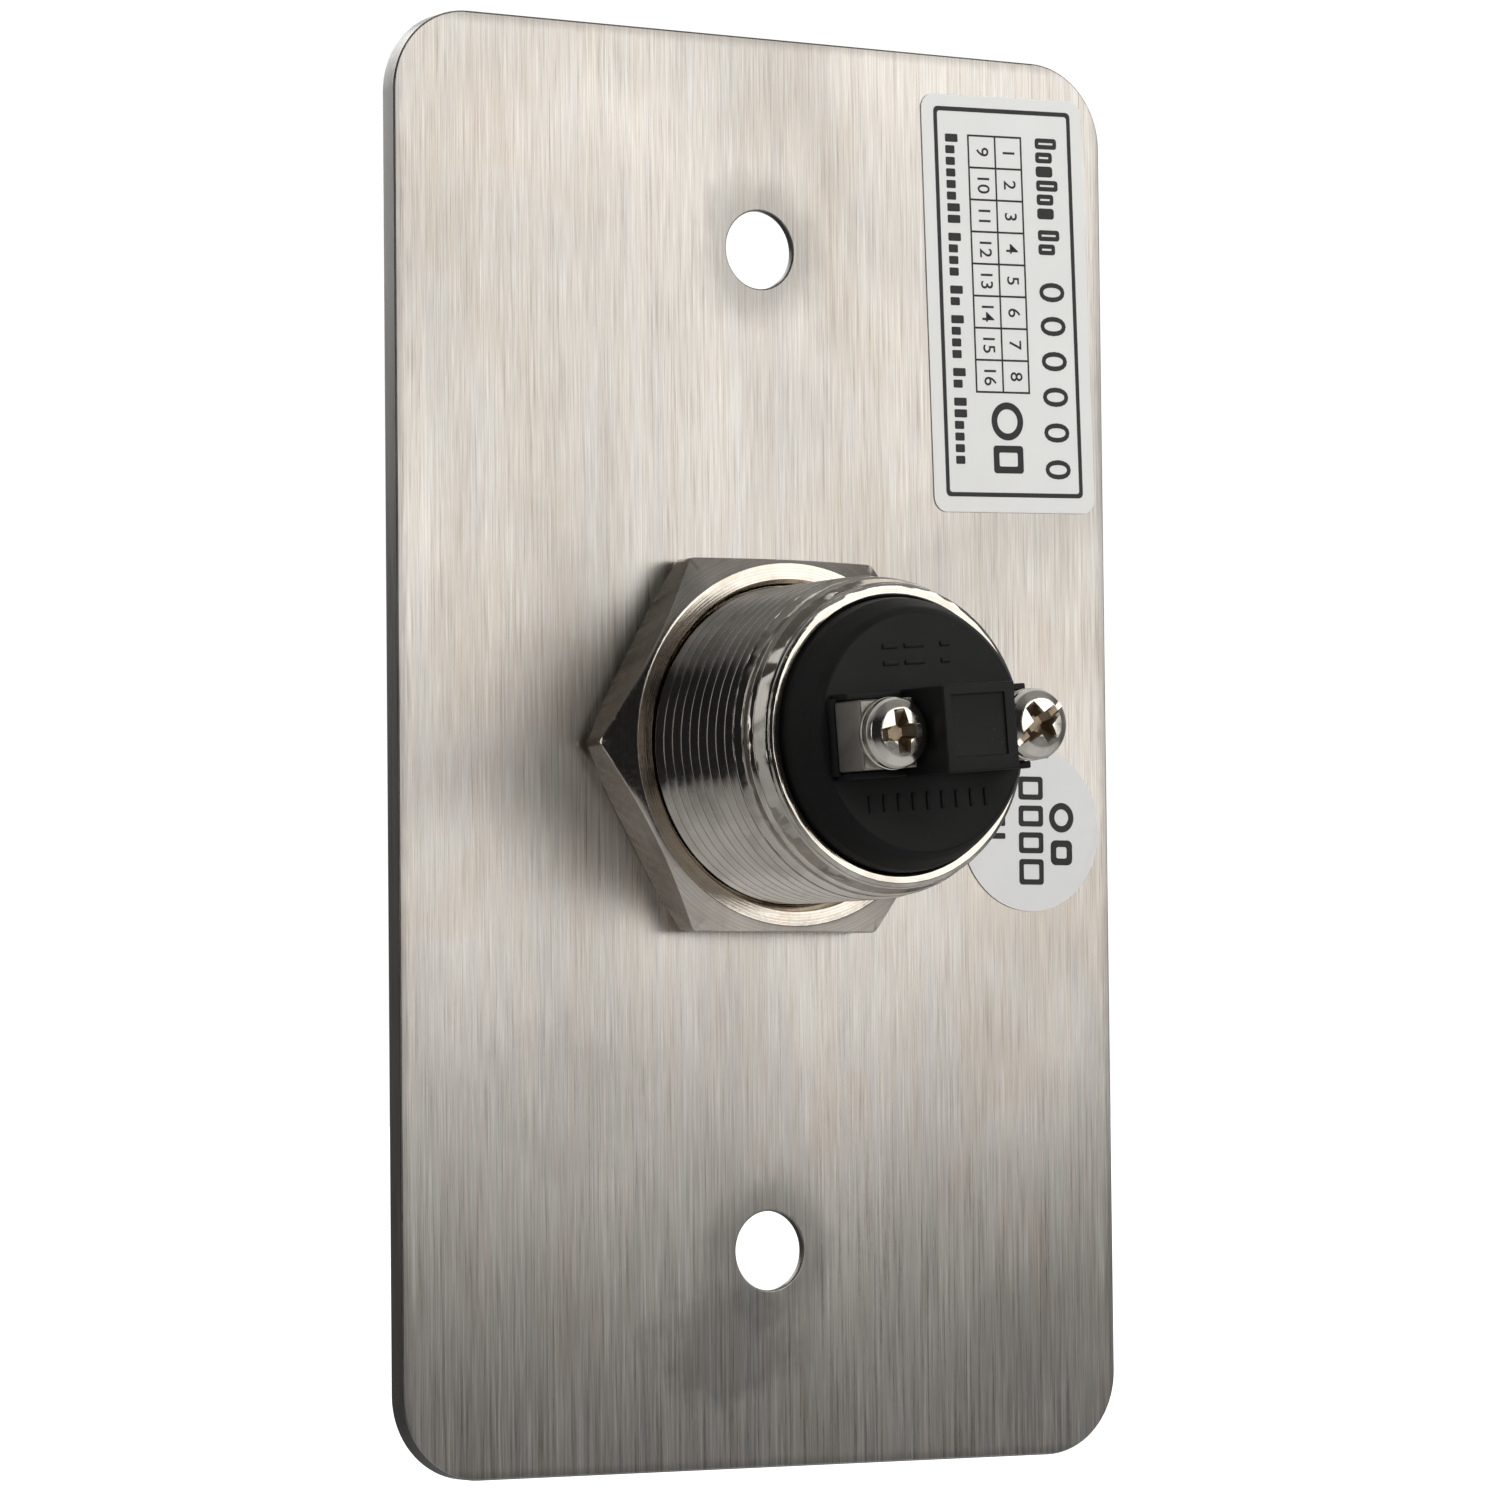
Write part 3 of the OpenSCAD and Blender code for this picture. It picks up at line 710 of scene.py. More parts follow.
def make_barrel():
    seg = 160
    t0, t1 = 0.0, 16.3
    a = rounded([
        (GUIDE_R, STOP_Y, 0.1), (GUIDE_R, BEZEL_FRONT + 0.9, 0.3), (GUIDE_R + 0.55, BEZEL_FRONT + 0.35, 0.3),
        (GUIDE_R + 1.1, BEZEL_FRONT + 0.35, 0.15), (GUIDE_R + 1.45, BEZEL_FRONT, 0.2), (BEZEL_R - 1.9, BEZEL_FRONT, 0.8),
        (BEZEL_R, BEZEL_FRONT + 1.5, 1.2), (BEZEL_R, BEZEL_BACK, 0.2), (THREAD_R, BEZEL_BACK, 0.0)], closed=False, steps=5)
    rows = [ring_row(r, y, seg) for r, y in a]
    rows.append(ring_row(THREAD_R, t0 - 0.3, seg))
    rows += thread_rows(t0, t1, THREAD_R, DEPTH, PITCH, seg, worn=0.014)
    b = rounded([
        (THREAD_R, t1, 0.0), (THREAD_R - 0.02, t1 + 0.06, 0.03), (THREAD_R - 0.53, t1 + 0.38, 0.08), (THREAD_R - 0.53, t1 + 0.95, 0.10),
        (THREAD_R - 0.20, t1 + 1.18, 0.10), (THREAD_R - 0.20, t1 + 1.88, 0.18), (THREAD_R - 0.53, t1 + 2.14, 0.08),
        (THREAD_R - 0.40, t1 + 2.42, 0.16), (THREAD_R - 0.76, BARREL_END - 0.50, 0.12), (THREAD_R - 0.98, BARREL_END - 0.40, 0.05),
        (THREAD_R - 0.84, BARREL_END - 0.27, 0.08), (THREAD_R - 0.92, BARREL_END - 0.10, 0.12),
        (THREAD_R - 1.20, BARREL_END, 0.28), (INS_BORE + 0.22, BARREL_END, 0.20), (INS_BORE + 0.03, BARREL_END - 0.24, 0.10),
        (INS_BORE + 0.01, BARREL_END - 0.6, 0.0),
        (INS_BORE, DISC_Y, 0.0), (INS_BORE - 0.35, DISC_Y, 0.0), (INS_BORE - 0.35, STOP_Y, 0.0)], closed=False, steps=4)
    rows += [ring_row(r, y, seg) for r, y in b]
    g = np.array(rows)
    # plated-over tool marks and small knocks on the end rings and thread crests
    grain = RNG.normal(0, 1, (g.shape[0], seg + 1))
    grain = grain + np.roll(grain, 1, 1) * 0.8 + np.roll(grain, 1, 0) * 0.6
    grain[:, -1] = grain[:, 0]
    rad = np.hypot(g[:, :, 0], g[:, :, 2])
    amt = np.where((g[:, :, 1] > 16.2) & (rad > INS_BORE + 0.1), 0.011, 0.0)
    k = 1 - np.abs(grain) * amt / rad
    g[:, :, 0] *= k
    g[:, :, 2] *= k
    v = g.reshape(-1, 3)
    f = grid_faces(g.shape[0], g.shape[1], True, False)
    return new_piece("barrel", [tuple(p) for p in v], f, "barrel", "plate_unit", ["button_housing"], 26, weld=2e-6)


make_barrel()


# ------------------------------------------------------------------ lock nut
def make_nut():
    af, rc = NUT_AF / 2, NUT_AF / 2 / math.cos(math.pi / 6)
    flat_r, slope = NUT_AF / 2 - 0.35, 0.58
    per = 22
    ths = []
    for s in range(6):
        for i in range(per):
            t = i / per
            t = 0.5 - 0.5 * math.cos(math.pi * t)     # closer together near the corners
            ths.append(math.radians(60 * s) + math.radians(60) * t)
    ths = np.array(ths)
    rel = (ths + 1e-12) % (math.pi / 3) - math.pi / 6
    hr = np.minimum(af / np.cos(rel), rc - 0.10)
    cols = len(ths)

    def row(r, y):
        r = np.broadcast_to(r, cols)
        y = np.broadcast_to(y, cols)
        return np.stack([r * np.cos(ths), y, r * np.sin(ths)], 1)

    yu = NUT_T - slope * (hr - flat_r)
    yl = np.clip(0.25 + 0.45 * (hr - (rc - 1.5)), 0.08, None)
    bore = THREAD_R + 0.05
    e = 0.10
    rows = [
        row(bore, 0.5), row(bore, NUT_T - 0.62), row(bore + 0.05, NUT_T - 0.5), row(bore + 0.48, NUT_T - 0.07), row(bore + 0.58, NUT_T),
        row(bore + 0.75, NUT_T), row(flat_r - 0.16, NUT_T), row(flat_r - 0.02, NUT_T - 0.015), row(flat_r + 0.12, NUT_T - 0.07),
        row(flat_r + (hr - flat_r) * 0.5, NUT_T - slope * (hr - flat_r) * 0.5),
        row(np.maximum(hr - e, flat_r + 0.13), NUT_T - slope * (np.maximum(hr - e, flat_r + 0.13) - flat_r)), row(hr - 0.02, yu - 0.045), row(hr, yu - 0.13),
        row(hr, yl + 0.10), row(hr - 0.03, yl + 0.03), row(hr - 0.12, yl * 0.6), row(np.minimum(hr - 0.25, rc - 1.2), 0.0),
        row(bore + 0.9, 0.0), row(bore + 0.5, 0.0)]
    g = np.array(rows)
    f = grid_faces(g.shape[0], cols, True, True)
    return new_piece("nut", [tuple(p) for p in g.reshape(-1, 3)], f, "nut", "plate_unit", ["lock_nut"], 24, weighted=True)


make_nut()


# ------------------------------------------------------------------ gasket
def make_gasket():
    p = rounded([(THREAD_R + 0.1, BEZEL_BACK, 0.1), (BEZEL_R - 0.6, BEZEL_BACK, 0.15), (BEZEL_R - 0.6, -PLATE_T, 0.15), (THREAD_R + 0.1, -PLATE_T, 0.1)])
    v, f = revolve(p, 128)
    return new_piece("gasket", v, f, "rubber", "plate_unit", ["bezel_gasket"], 50)


make_gasket()


# ------------------------------------------------------------------ push cap and seal
def make_cap():
    cap_r = 9.79
    inner = cap_r - 1.3
    fin = CAP_FRONT + 1.6
    dome = []
    R = 22.0
    for i in range(15):
        r = cap_r * 0.90 * i / 14
        dome.append((r, CAP_FRONT + (R - math.sqrt(R * R - r * r)) * 0.55))
    yb = dome[-1][1]
    rest = rounded([dome[-1], (cap_r, yb + 0.75, 0.7), (cap_r, -3.15, 0.05), (cap_r - 0.99, -3.15, 0.05), (cap_r - 0.99, -2.05, 0.05), (cap_r, -2.05, 0.05),
                    (cap_r, STOP_Y + 0.05, 0.05), (cap_r + 0.85, STOP_Y + 0.05, 0.1), (cap_r + 0.85, STOP_Y + 1.05, 0.1),
                    (inner, STOP_Y + 1.05, 0.1), (inner, fin + 0.4, 0.5), (3.2, fin + 0.4, 0.2), (3.2, fin + 3.2, 0.1), (1.5, fin + 3.2, 0.05), (1.5, fin + 0.6, 0.0)], closed=False, steps=6)
    prof = dome[:-1] + rest + [(0, fin + 0.6)]
    v, f = revolve(prof, 128, closed=False)
    return new_piece("cap", v, f, "cap", "push_unit", ["push_cap"], 30)


make_cap()


# ------------------------------------------------------------------ springs
def coil(name, r, wr, y0, y1, turns, body, node, per_turn=40, sides=14):
    n = int(turns * per_turn)
    lead, e = 2 * wr * 1.02, 0.85
    span = y1 - y0 - 2 * wr
    mid = (span - 2 * lead * e) / (turns - 2 * e)
    P = []
    for i in range(n + 1):
        t = i / per_turn
        h = lead * t if t < e else (span - lead * (turns - t) if t > turns - e else lead * e + mid * (t - e))
        a = TAU * t
        P.append(Vector((r * math.cos(a), y0 + wr + h, r * math.sin(a))))
    verts, faces = [], []
    for i, p in enumerate(P):
        t = (P[min(i + 1, n)] - P[max(i - 1, 0)]).normalized()
        u = Vector((p.x, 0, p.z)).normalized()
        w = t.cross(u).normalized()
        u = w.cross(t)
        for k in range(sides):
            b = TAU * k / sides
            verts.append(tuple(p + u * (wr * math.cos(b)) + w * (wr * math.sin(b))))
    faces = grid_faces(n + 1, sides, False, True)
    faces.append(tuple(range(sides)))
    faces.append(tuple(n * sides + k for k in range(sides - 1, -1, -1)))
    return new_piece(name, verts, faces, "spring", body, [node], 60)


rs = coil("return_coil", 4.3, 0.36, -7.13, 6.16, 7, "plate_unit", "return_spring")
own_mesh(rs)
coil("contact_coil", 2.55, 0.20, 9.13, 11.96, 4, "push_unit", "contact_spring")


# ------------------------------------------------------------------ terminal insert
def cylinder_part(r, y0, y1, centre=(0, 0), seg=48):
    return revolve([(0, y0), (r, y0), (r, y1), (0, y1)], seg, centre, closed=False)


def make_insert():
    f = FACE_Y
    base_front = 7.8
    outer = rounded([
        (8.6, base_front, 0.1), (INS_R, base_front, 0.1), (INS_R, BARREL_END - 0.1, 0.0), (INS_R - 0.02, BARREL_END + 0.4, 0.2),
        (INS_R - 0.16, f - 2.35, 0.5), (INS_R - 0.95, f - 0.55, 1.2), (INS_R - 1.5, f, 0.35), (2.05, f, 0.0)], closed=False, steps=6)
    prof = outer + [(2.05, 19.0), (8.6, 19.0)]
    v, fc = revolve(prof, 128)
    body = new_piece("insert_body", turned(v), fc, "nylon", "plate_unit", ["terminal_base"], 30)
    for s in (-1, 1):
        bv, bf = rounded_box((s * 7.6 - 0.43, 18.0, -2.03), (s * 7.6 + 0.43, f + 1.0, 2.03), 0.02, 1)
        boolean(body, turned(bv), bf)
    smooth_again(body, 30)
    # barrier: a tall square post with a shallow sunken top
    bv, bf = rounded_box((-3.45, f - 0.2, -3.5), (3.45, BARRIER_Y, 3.5), 0.16, 3)
    post = new_piece("insert_barrier", turned(bv), bf, "nylon", "plate_unit", [], 30)
    cv, cf = rounded_box((-2.45, BARRIER_Y - 0.22, -2.30), (2.75, BARRIER_Y + 2, 2.72), 0.10, 2)
    boolean(post, turned(cv), cf)
    hv, hf = cylinder_part(2.05, f - 2, 29.8, seg=48)
    boolean(post, hv, hf)
    smooth_again(post, 30)
    # plinths under the terminals, and the low ears beside them
    parts = []
    for s in (-1, 1):
        x0, x1 = sorted((s * 3.3, s * (TERM_X + BLOCK_W / 2 + 0.12)))
        pv, pf = rounded_box((x0, f - 0.25, -3.1), (x1, f + 1.0 - 0.01, 3.1), 0.18, 2)
        parts.append((turned(pv), pf))
        for t in (-1, 1):
            x0, x1 = sorted((s * 3.3, s * (TERM_X + 2.3)))
            z0, z1 = sorted((t * (BLOCK_Z / 2 + 0.06), t * (BLOCK_Z / 2 + 0.66)))
            ev, ef = rounded_box((x0, f - 0.2, z0), (x1, f + 2.4, z1), 0.16, 2)
            parts.append((turned(ev), ef))
    v, fc = join_parts(parts)
    new_piece("insert_plinths", v, fc, "nylon", "plate_unit", [], 30)
    # plain raised moulding marks: three bars over the terminals, a row of short ribs below
    parts = []
    for x, w in ((2.6, 1.5), (0.3, 1.9), (-2.7, 0.9)):
        parts.append(rounded_box((x - w / 2, f - 0.05, 5.55), (x + w / 2, f + 0.13, 5.95), 0.06, 1))
        parts.append(rounded_box((x - w / 2, f - 0.05, 6.9), (x + w / 2, f + 0.13, 7.3), 0.06, 1))
    for i in range(9):
        x = -5.6 + i * 1.4
        parts.append(rounded_box((x - 0.16, f - 0.05, -6.2), (x + 0.16, f + 0.12, -4.75), 0.06, 1))
    v, fc = join_parts(parts)
    new_piece("insert_marks", turned(v), fc, "nylon", "plate_unit", [], 30)


make_insert()


# ------------------------------------------------------------------ terminals
def make_block(s, name, node):
    bv, bf = rounded_box((s * TERM_X - BLOCK_W / 2, BLOCK_Y, -BLOCK_Z / 2), (s * TERM_X + BLOCK_W / 2, BLOCK_Y + BLOCK_H, BLOCK_Z / 2), 0.22, 3)
    ob = new_piece(name, turned(bv), bf, "terminal", "plate_unit", [node], 30)
    hv, hf = cylinder_part(1.5, BLOCK_Y - 1, BLOCK_Y + BLOCK_H + 1, (s * TERM_X, 0), 40)
    boolean(ob, turned(hv), hf)
    smooth_again(ob, 30)


make_block(1, "block_left", "terminal_block_left")
make_block(-1, "block_right", "terminal_block_right")


def make_washer(s, lift, name, node, body):
    y = BLOCK_Y + BLOCK_H + 0.02 + lift
    p = rounded([(1.53, y, 0.05), (HEAD_R + 0.05, y, 0.14), (HEAD_R + 0.05, y + 0.48, 0.14), (1.53, y + 0.48, 0.05)], steps=4)
    v, f = revolve(p, 72, (s * TERM_X, 0))
    new_piece(name, turned(v), f, "screw", body, [node], 30)


make_washer(1, 0, "washer_left", "clamp_washer_left", "left_washer")
make_washer(-1, RIGHT_LIFT, "washer_right", "clamp_washer_right", "right_washer")


def cross_cutter(y_top, depth, arm, width, turn, cx, cz):
    """A tapered Phillips-shaped tool: wide cross at y_top, narrowing to a blunt centre."""
    def outline(a, w, n=4):
        pts = []
        for q in range(4):
            g = math.pi / 2 * q
            c, s = math.cos(g), math.sin(g)
            for x, z in ((a, -w / 2), (a, w / 2), (w / 2 * 1.25, w / 2 * 1.25)):
                pts.append((x * c - z * s, x * s + z * c))
        return pts
    lv = [(y_top + 1.2, arm * 1.10, width * 1.10), (y_top, arm, width), (y_top - depth * 0.55, arm * 0.62, width * 0.85), (y_top - depth, width * 0.62, width * 0.6)]
    verts, n = [], 12
    t = math.radians(turn)
    for y, a, w in lv:
        for x, z in outline(a, w):
            X, Z = x * math.cos(t) + z * math.sin(t), -x * math.sin(t) + z * math.cos(t)
            verts.append((cx + X, y, cz + Z))
    faces = grid_faces(len(lv), n, False, True)
    faces.append(tuple(range(n)))
    faces.append(tuple((len(lv) - 1) * n + k for k in range(n - 1, -1, -1)))
    return verts, faces


def make_screw(s, lift, turn, slotted, name, node, body):
    y = HEAD_Y + lift
    cx = s * TERM_X
    seg = 72
    shank = 1.45
    # head
    head = rounded([(0, y), (HEAD_R - 0.05, y, 0.0), (HEAD_R, y + 0.12, 0.1), (HEAD_R, y + 0.60, 0.20), (HEAD_R - 0.22, y + 1.02, 0.45), (HEAD_R - 0.85, y + 1.38, 0.9),
                    (HEAD_R - 1.75, y + 1.56, 1.2), (0.5, y + DOME_H, 0.8), (0, y + DOME_H)], closed=False, steps=5)
    v, f = revolve(head, seg, (cx, 0), closed=False)
    ob = new_piece(name, turned(v), f, "head_left" if s > 0 else "head_right", body, [node], 28)
    cv, cf = cross_cutter(y + DOME_H, 1.25, 2.15, 1.04, turn, 0, 0)
    cv = [(x + cx, yy, z) for x, yy, z in cv]
    boolean(ob, turned(cv), cf)
    if slotted:
        t = math.radians(turn)
        sv, sf = rounded_box((-3.4, y + 0.95, -0.30), (3.4, y + 3.2, 0.30), 0.05, 1)
        sv = [(x * math.cos(t) + z * math.sin(t) + cx, yy, -x * math.sin(t) + z * math.cos(t)) for x, yy, z in sv]
        boolean(ob, turned(sv), sf)
    smooth_again(ob, 28)
    # threaded shank as its own closed mesh, riding with the head
    rows = [ring_row(0.001, y - 3.5, 48), ring_row(shank - 0.45, y - 3.5, 48), ring_row(shank - 0.1, y - 3.2, 48)]
    rows += thread_rows(y - 3.15, y - 0.12, shank, 0.26, 0.5, 48, crest=0.15, run_in=0.6)
    rows += [ring_row(shank, y - 0.05, 48), ring_row(shank, y + 0.05, 48), ring_row(0.001, y + 0.05, 48)]
    g = np.array(rows)
    g[:, :, 0] += cx
    fcs = grid_faces(g.shape[0], g.shape[1], False, False)
    sh = new_piece(name + "_shank", turned([tuple(p) for p in g.reshape(-1, 3)]), fcs, "screw", body, [], 30, weld=2e-6)
    return ob


make_screw(1, 0.0, 4.0, False, "screw_left", "terminal_screw_left", "left_screw")
make_screw(-1, RIGHT_LIFT, 34.0, True, "screw_right", "terminal_screw_right", "right_screw")


# ------------------------------------------------------------------ labels
def flat_shape(pts, y0, y1, holes=()):
    """A thin prism of one outline, with holes, points as (x, z)."""
    loops = [list(pts)] + [list(h) for h in holes]
    verts, faces, tops, bots = [], [], [], []
    for lp in loops:
        a = list(range(len(verts), len(verts) + len(lp))); verts += [(p[0], y0, p[1]) for p in lp]
        b = list(range(len(verts), len(verts) + len(lp))); verts += [(p[0], y1, p[1]) for p in lp]
        n = len(lp)
        for k in range(n):
            faces.append((a[k], a[(k + 1) % n], b[(k + 1) % n], b[k]))
        bots.append(a); tops.append(b)
    for side in (bots, tops):
        flat = [i for r in side for i in r]
        tri = tessellate_polygon([[Vector((verts[i][0], verts[i][2], 0)) for i in r] for r in side])
        faces += [tuple(flat[i] for i in t) for t in tri]
    return verts, faces


def rect_pts(a0, a1, b0, b1, r=0.0, seg=3):
    if r <= 0:
        return [(a0, b0), (a1, b0), (a1, b1), (a0, b1)]
    return [(x + (a0 + a1) / 2, z + (b0 + b1) / 2) for x, z in round_rect_pts(a1 - a0, b1 - b0, r, seg)]


def to_label(verts, frame_of):
    """From label coordinates (a to the right and b up, seen from behind) to the row frame."""
    X, Z, turn = frame_of
    t = math.radians(turn)
    out = []
    for a, y, b in verts:
        u = a * math.cos(t) - b * math.sin(t)
        v = a * math.sin(t) + b * math.cos(t)
        out.append((X - u, y, Z + v))
    return out


def text_part(body, size, a, b, y0, y1, turn=-90, bold=0.0):
    """Number glyphs as a thin mesh, centred at (a, b) in label coordinates, reading down the label."""
    cu = bpy.data.curves.new("num", "FONT")
    cu.body, cu.size, cu.align_x, cu.align_y = body, size, "CENTER", "CENTER"
    cu.offset = bold
    cu.resolution_u = 4
    ob = bpy.data.objects.new("num", cu)
    bpy.context.scene.collection.objects.link(ob)
    dg = bpy.context.evaluated_depsgraph_get()
    me = bpy.data.meshes.new_from_object(ob.evaluated_get(dg))
    bm = bmesh.new(); bm.from_mesh(me)
    bmesh.ops.remove_doubles(bm, verts=bm.verts, dist=1e-5)
    ext = bmesh.ops.extrude_face_region(bm, geom=bm.faces[:])
    bmesh.ops.translate(bm, verts=[g for g in ext["geom"] if isinstance(g, bmesh.types.BMVert)], vec=(0, 0, 1))
    bm.verts.index_update()
    t = math.radians(turn)
    c, s = math.cos(t), math.sin(t)
    verts = [(a + v.co.x * c - v.co.y * s, y0 + (y1 - y0) * v.co.z, b + v.co.x * s + v.co.y * c) for v in bm.verts]
    faces = [tuple(v.index for v in fc.verts) for fc in bm.faces]
    bm.free()
    bpy.data.objects.remove(ob)
    bpy.data.curves.remove(cu)
    bpy.data.meshes.remove(me)
    return verts, faces


def make_labels():
    X, Z, w, h, turn = LABEL
    fr = (X, Z, turn)
    t = 0.12
    # flat film with slightly rounded edges
    v, f = sheet_part([round_rect_pts(w, h, 1.3, 10)], 0.0, t, 0.04, 2)
    new_piece("label_film", to_label(v, fr), f, "label", "plate_unit", ["serial_label"], 40, weighted=True)
    y0, y1 = t - 0.004, t + 0.012
    parts = []
    # border
    parts.append(flat_shape(rect_pts(-7.12, 7.12, -16.65, 16.95, 0.45, 5), y0, y1, [rect_pts(-6.74, 6.74, -16.27, 16.57, 0.25, 5)]))
    # 2 x 8 grid
    a0, am, a1, b1, b0 = -3.62, -0.85, 1.85, 14.54, -7.6
    lw = 0.085
    step = (b1 - b0) / 8
    cells = []
    for i in range(8):
        top, bot = b1 - step * i - lw, b1 - step * (i + 1) + lw
        cells.append(rect_pts(a0 + lw, am - lw, bot, top))
        cells.append(rect_pts(am + lw, a1 - lw, bot, top))
    parts.append(flat_shape(rect_pts(a0 - lw, a1 + lw, b0 - lw, b1 + lw), y0, y1, cells))
    for i in range(8):
        for col, ac in ((0, (am + a1) / 2), (1, (a0 + am) / 2)):
            parts.append(text_part(str(i + 1 + 8 * col), 1.75, ac, b1 - step * (i + 0.5), y0, y1, bold=0.012))
    # heading and small print as plain blocks, one per letter, in word lengths
    def greek(base, b, words, cell, gap, low, tall, edge):
        rnd = random.Random(3)
        for word in words:
            for i in range(word):
                hh = tall if i == 0 or rnd.random() < 0.22 else low
                parts.append(flat_shape(rect_pts(base, base + hh, b - cell + gap, b, edge, 2), y0, y1,
                                        [rect_pts(base + edge * 1.6, base + hh - edge * 1.6, b - cell + gap + edge * 1.6, b - edge * 1.6)] if cell > 1 and rnd.random() < 0.6 else ()))
                b -= cell
            b -= cell * 0.55
        return b
    greek(3.35, 14.6, (6, 2), 1.22, 0.28, 1.75, 2.25, 0.24)
    for i, bc in enumerate((1.2, -1.75, -4.8, -7.9, -11.0, -14.2)):
        parts.append(text_part("0", 3.7, 4.45, bc, y0, y1, bold=0.03))
    greek(-6.0, 14.6, (8, 4, 2, 4, 2, 6), 1.0, 0.30, 0.95, 1.30, 0.10)
    # a plain ring and square in place of a mark
    def ring(cx, cz, r0, r1, seg=40):
        return flat_shape(circle_pts(cx, cz, r1, seg), y0, y1, [circle_pts(cx, cz, r0, seg)])
    parts.append(ring(-0.55, -10.1, 1.05, 1.65))
    parts.append(flat_shape(rect_pts(-2.1, 1.0, -14.6, -12.2, 0.3, 4), y0, y1, [rect_pts(-1.5, 0.4, -14.0, -12.8, 0.15, 4)]))
    v, f = join_parts(parts)
    new_piece("label_print", to_label(v, fr), f, "ink", "plate_unit", [], 40)

    # round sticker: a disc with a raised crease, and plain marks
    sx, sz, r = STICKER
    fr = (sx, sz, 0.0)
    rings, seg = 26, 96
    verts = [(0, 0.12, 0)]
    for i in range(1, rings + 1):
        for k in range(seg):
            a = TAU * k / seg
            rr = r * i / rings
            x, z = rr * math.cos(a), rr * math.sin(a)
            verts.append((x, 0.12, z))

    def crease(x, z):
        # two shallow folds from the right rim
        d = 0.0
        for (x0, z0, x1, z1, hgt, wid) in ((7.0, 0.9, 5.0, -4.7, 0.11, 0.26), (7.0, 0.6, 4.9, 0.1, 0.09, 0.20)):
            t = ((x - x0) * (x1 - x0) + (z - z0) * (z1 - z0)) / ((x1 - x0) ** 2 + (z1 - z0) ** 2)
            tc = min(1, max(0, t))
            dist = math.hypot(x - x0 - tc * (x1 - x0), z - z0 - tc * (z1 - z0))
            d = max(d, hgt * (1 - tc * 0.8) * math.exp(-(dist / wid) ** 2))
        return d
    verts = [(x, y + crease(x, z), z) for x, y, z in verts]
    faces = []
    for k in range(seg):
        faces.append((0, 1 + k, 1 + (k + 1) % seg))
    for i in range(rings - 1):
        for k in range(seg):
            a, b2 = 1 + i * seg + k, 1 + i * seg + (k + 1) % seg
            faces.append((a, b2, b2 + seg, a + seg))
    n0 = len(verts)
    base = 1 + (rings - 1) * seg
    for k in range(seg):
        x, y, z = verts[base + k]
        verts.append((x, 0.0, z))
    for k in range(seg):
        faces.append((base + k, base + (k + 1) % seg, n0 + (k + 1) % seg, n0 + k))
    faces.append(tuple(n0 + k for k in range(seg)))
    new_piece("sticker_paper", to_label(verts, fr), faces, "sticker", "plate_unit", ["inspection_sticker"], 40)
    parts = []
    y0, y1 = 0.116, 0.134
    parts.append(flat_shape(circle_pts(3.25, 1.0, 1.28, 40), y0, y1, [circle_pts(3.25, 1.0, 0.72, 40)]))
    parts.append(flat_shape(rect_pts(2.1, 4.35, -3.1, -0.95, 0.5, 4), y0, y1, [rect_pts(2.68, 3.77, -2.52, -1.53, 0.2, 3)]))
    for b0_, b1_ in ((4.5, 2.5), (2.0, 0.2), (-0.3, -2.1), (-2.6, -4.8)):
        parts.append(flat_shape(rect_pts(-1.2, 1.35, b1_, b0_, 0.3, 4), y0, y1, [rect_pts(-0.72, 0.87, b1_ + 0.46, b0_ - 0.46, 0.12, 3)]))
    for b0_, b1_ in ((1.6, 0.2), (-0.4, -0.9)):
        parts.append(flat_shape(rect_pts(-4.7, -2.6, b1_, b0_, 0.12, 3), y0, y1))
    v, f = join_parts(parts)
    v = [(x, y + crease(x, z), z) for x, y, z in v]
    new_piece("sticker_print", to_label(v, fr), f, "ink", "plate_unit", [], 40)


make_labels()

# ------------------------------------------------------------------ materials of the CAD nodes that stay
for name, m in (("cap_seal", "rubber"), ("plunger", "acetal"), ("guide_disc", "acetal"), ("contact_bridge", "brass"),
                ("moving_contact_rivets", "silver"), ("bridge_clip", "spring"), ("fixed_contact_left", "brass"),
                ("fixed_contact_right", "brass"), ("fixed_contact_rivets", "silver")):
    o = nodes[name]
    o.data.materials.clear()
    o.data.materials.append(M[m])

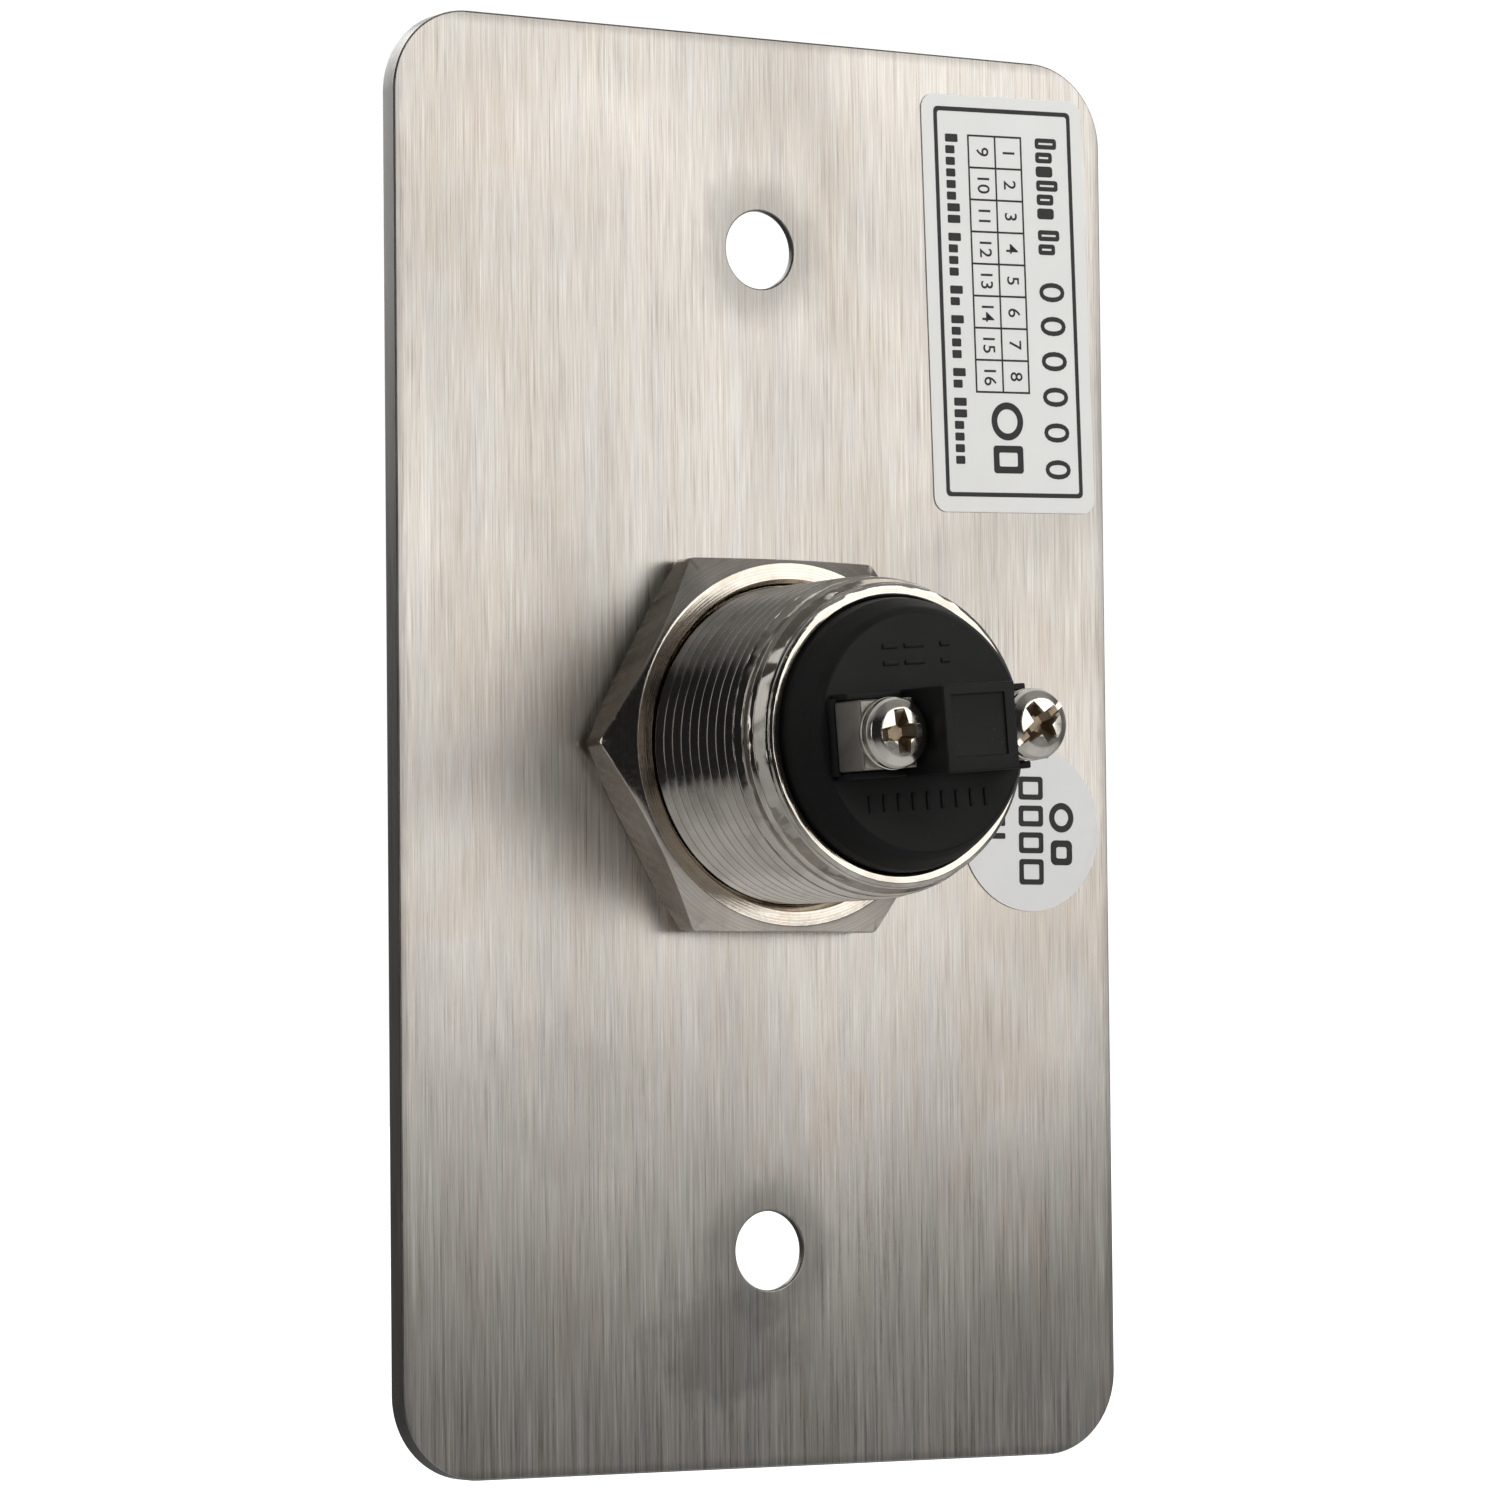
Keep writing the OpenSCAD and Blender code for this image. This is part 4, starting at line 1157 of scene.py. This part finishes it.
# ------------------------------------------------------------------ floor, world and lamps
def make_stage():
    me = bpy.data.meshes.new("floor")
    s, z = 30.0, -0.16
    me.from_pydata([(-s, -s, z), (s, -s, z), (s, s, z), (-s, s, z)], [], [(0, 1, 2, 3)])
    ob = bpy.data.objects.new("floor", me)
    bpy.context.scene.collection.objects.link(ob)
    n = Nodes("floor_paper")
    g = n.noise(n.mapping((3, 3, 3)), 1, 2, 0.5)
    n.set(Base_Color=n.ramp(g, [(0.3, 0.90), (0.7, 0.92)]), Roughness=0.9)
    n.b.inputs["Emission Color"].default_value = (1, 1, 1, 1)
    n.b.inputs["Emission Strength"].default_value = 1.0
    me.materials.append(n.mat)
    ob.visible_glossy = False
    ob.visible_diffuse = False
    ob.visible_shadow = False

    w = bpy.data.worlds.new("studio")
    bpy.context.scene.world = w
    w.use_nodes = True
    t = w.node_tree
    t.nodes.clear()
    out = t.nodes.new("ShaderNodeOutputWorld")
    N = Nodes.__new__(Nodes)
    N.t = t
    N.co = t.nodes.new("ShaderNodeTexCoord").outputs["Generated"]
    x, y, z = N.xyz()
    zz = N.maprange(z, -1, 1, 0, 1)
    # a dim room behind the camera, paler below (table) and above, and a lit room on the other side of the plate
    back = N.ramp(zz, [(0.0, 0.40), (0.22, 0.36), (0.345, 0.20), (0.375, 0.014), (0.74, 0.014), (0.785, 0.08), (0.86, 0.15), (1.0, 0.17)], "LINEAR")
    glow = N.math("MULTIPLY", N.maprange(x, 0.0, -0.15, 0.0, 0.10, True), N.maprange(y, -0.1, 0.1, 0.0, 1.0, True))
    back = N.mix(1.0, back, N.combine(glow, glow, glow), "ADD")
    front = N.ramp(zz, [(0.0, 0.30), (0.40, 0.32), (0.50, 0.40), (0.62, 0.55), (1.0, 0.62)], "LINEAR")
    col = N.mix(N.maprange(y, 0.05, -0.35, 0.0, 1.0, True), back, front)
    soft = t.nodes.new("ShaderNodeBackground"); soft.inputs["Strength"].default_value = 1.0
    N.link(col, soft.inputs["Color"])
    pale = t.nodes.new("ShaderNodeBackground"); pale.inputs["Color"].default_value = (1, 1, 1, 1); pale.inputs["Strength"].default_value = 1.05
    lp = t.nodes.new("ShaderNodeLightPath")
    mix = t.nodes.new("ShaderNodeMixShader")
    N.link(lp.outputs["Is Camera Ray"], mix.inputs[0])
    N.link(soft.outputs[0], mix.inputs[1])
    N.link(pale.outputs[0], mix.inputs[2])
    N.link(mix.outputs[0], out.inputs[0])

    def area(name, loc, target, sx, sy, radiance, color=(1, 1, 1), glossy=True):
        l = bpy.data.lights.new(name, "AREA")
        l.shape = "RECTANGLE"
        l.size, l.size_y = sx, sy
        l.energy = radiance * math.pi * sx * sy
        l.color = color
        o = bpy.data.objects.new(name, l)
        o.location = loc
        o.rotation_mode = "QUATERNION"
        o.rotation_quaternion = (Vector(target) - Vector(loc)).to_track_quat("-Z", "Y")
        o.visible_camera = False
        o.visible_glossy = glossy
        bpy.context.scene.collection.objects.link(o)
        return o
    # window-sized softbox that the rear face mirrors; a narrower one to the far side; and a shadowless fill
    area("softbox_right", (-0.19, 0.34, 0.045), (0, 0, 0.045), 0.36, 0.16, 1.42, (1.0, 0.985, 0.955))
    area("softbox_upper", (-0.21, 0.34, 0.205), (0, 0, 0.205), 0.40, 0.16, 1.62, (1.0, 0.985, 0.955))
    area("softbox_left", (0.42, 0.20, 0.06), (0, 0, 0.02), 0.10, 0.30, 1.2, (1.0, 0.985, 0.96))
    area("fill", (0.10, 0.75, 0.55), (0, 0, 0), 0.5, 0.5, 8.2, (1, 1, 1), glossy=False)
    area("front_fill", (0.2, -0.8, 0.45), (0, 0, 0), 0.7, 0.7, 4.0)
    area("front_soft", (-0.35, -0.7, 0.05), (0, 0, 0), 0.5, 0.6, 1.3)


make_stage()
bpy.context.scene.view_settings.view_transform = "Standard"
bpy.context.scene.view_settings.look = "None"
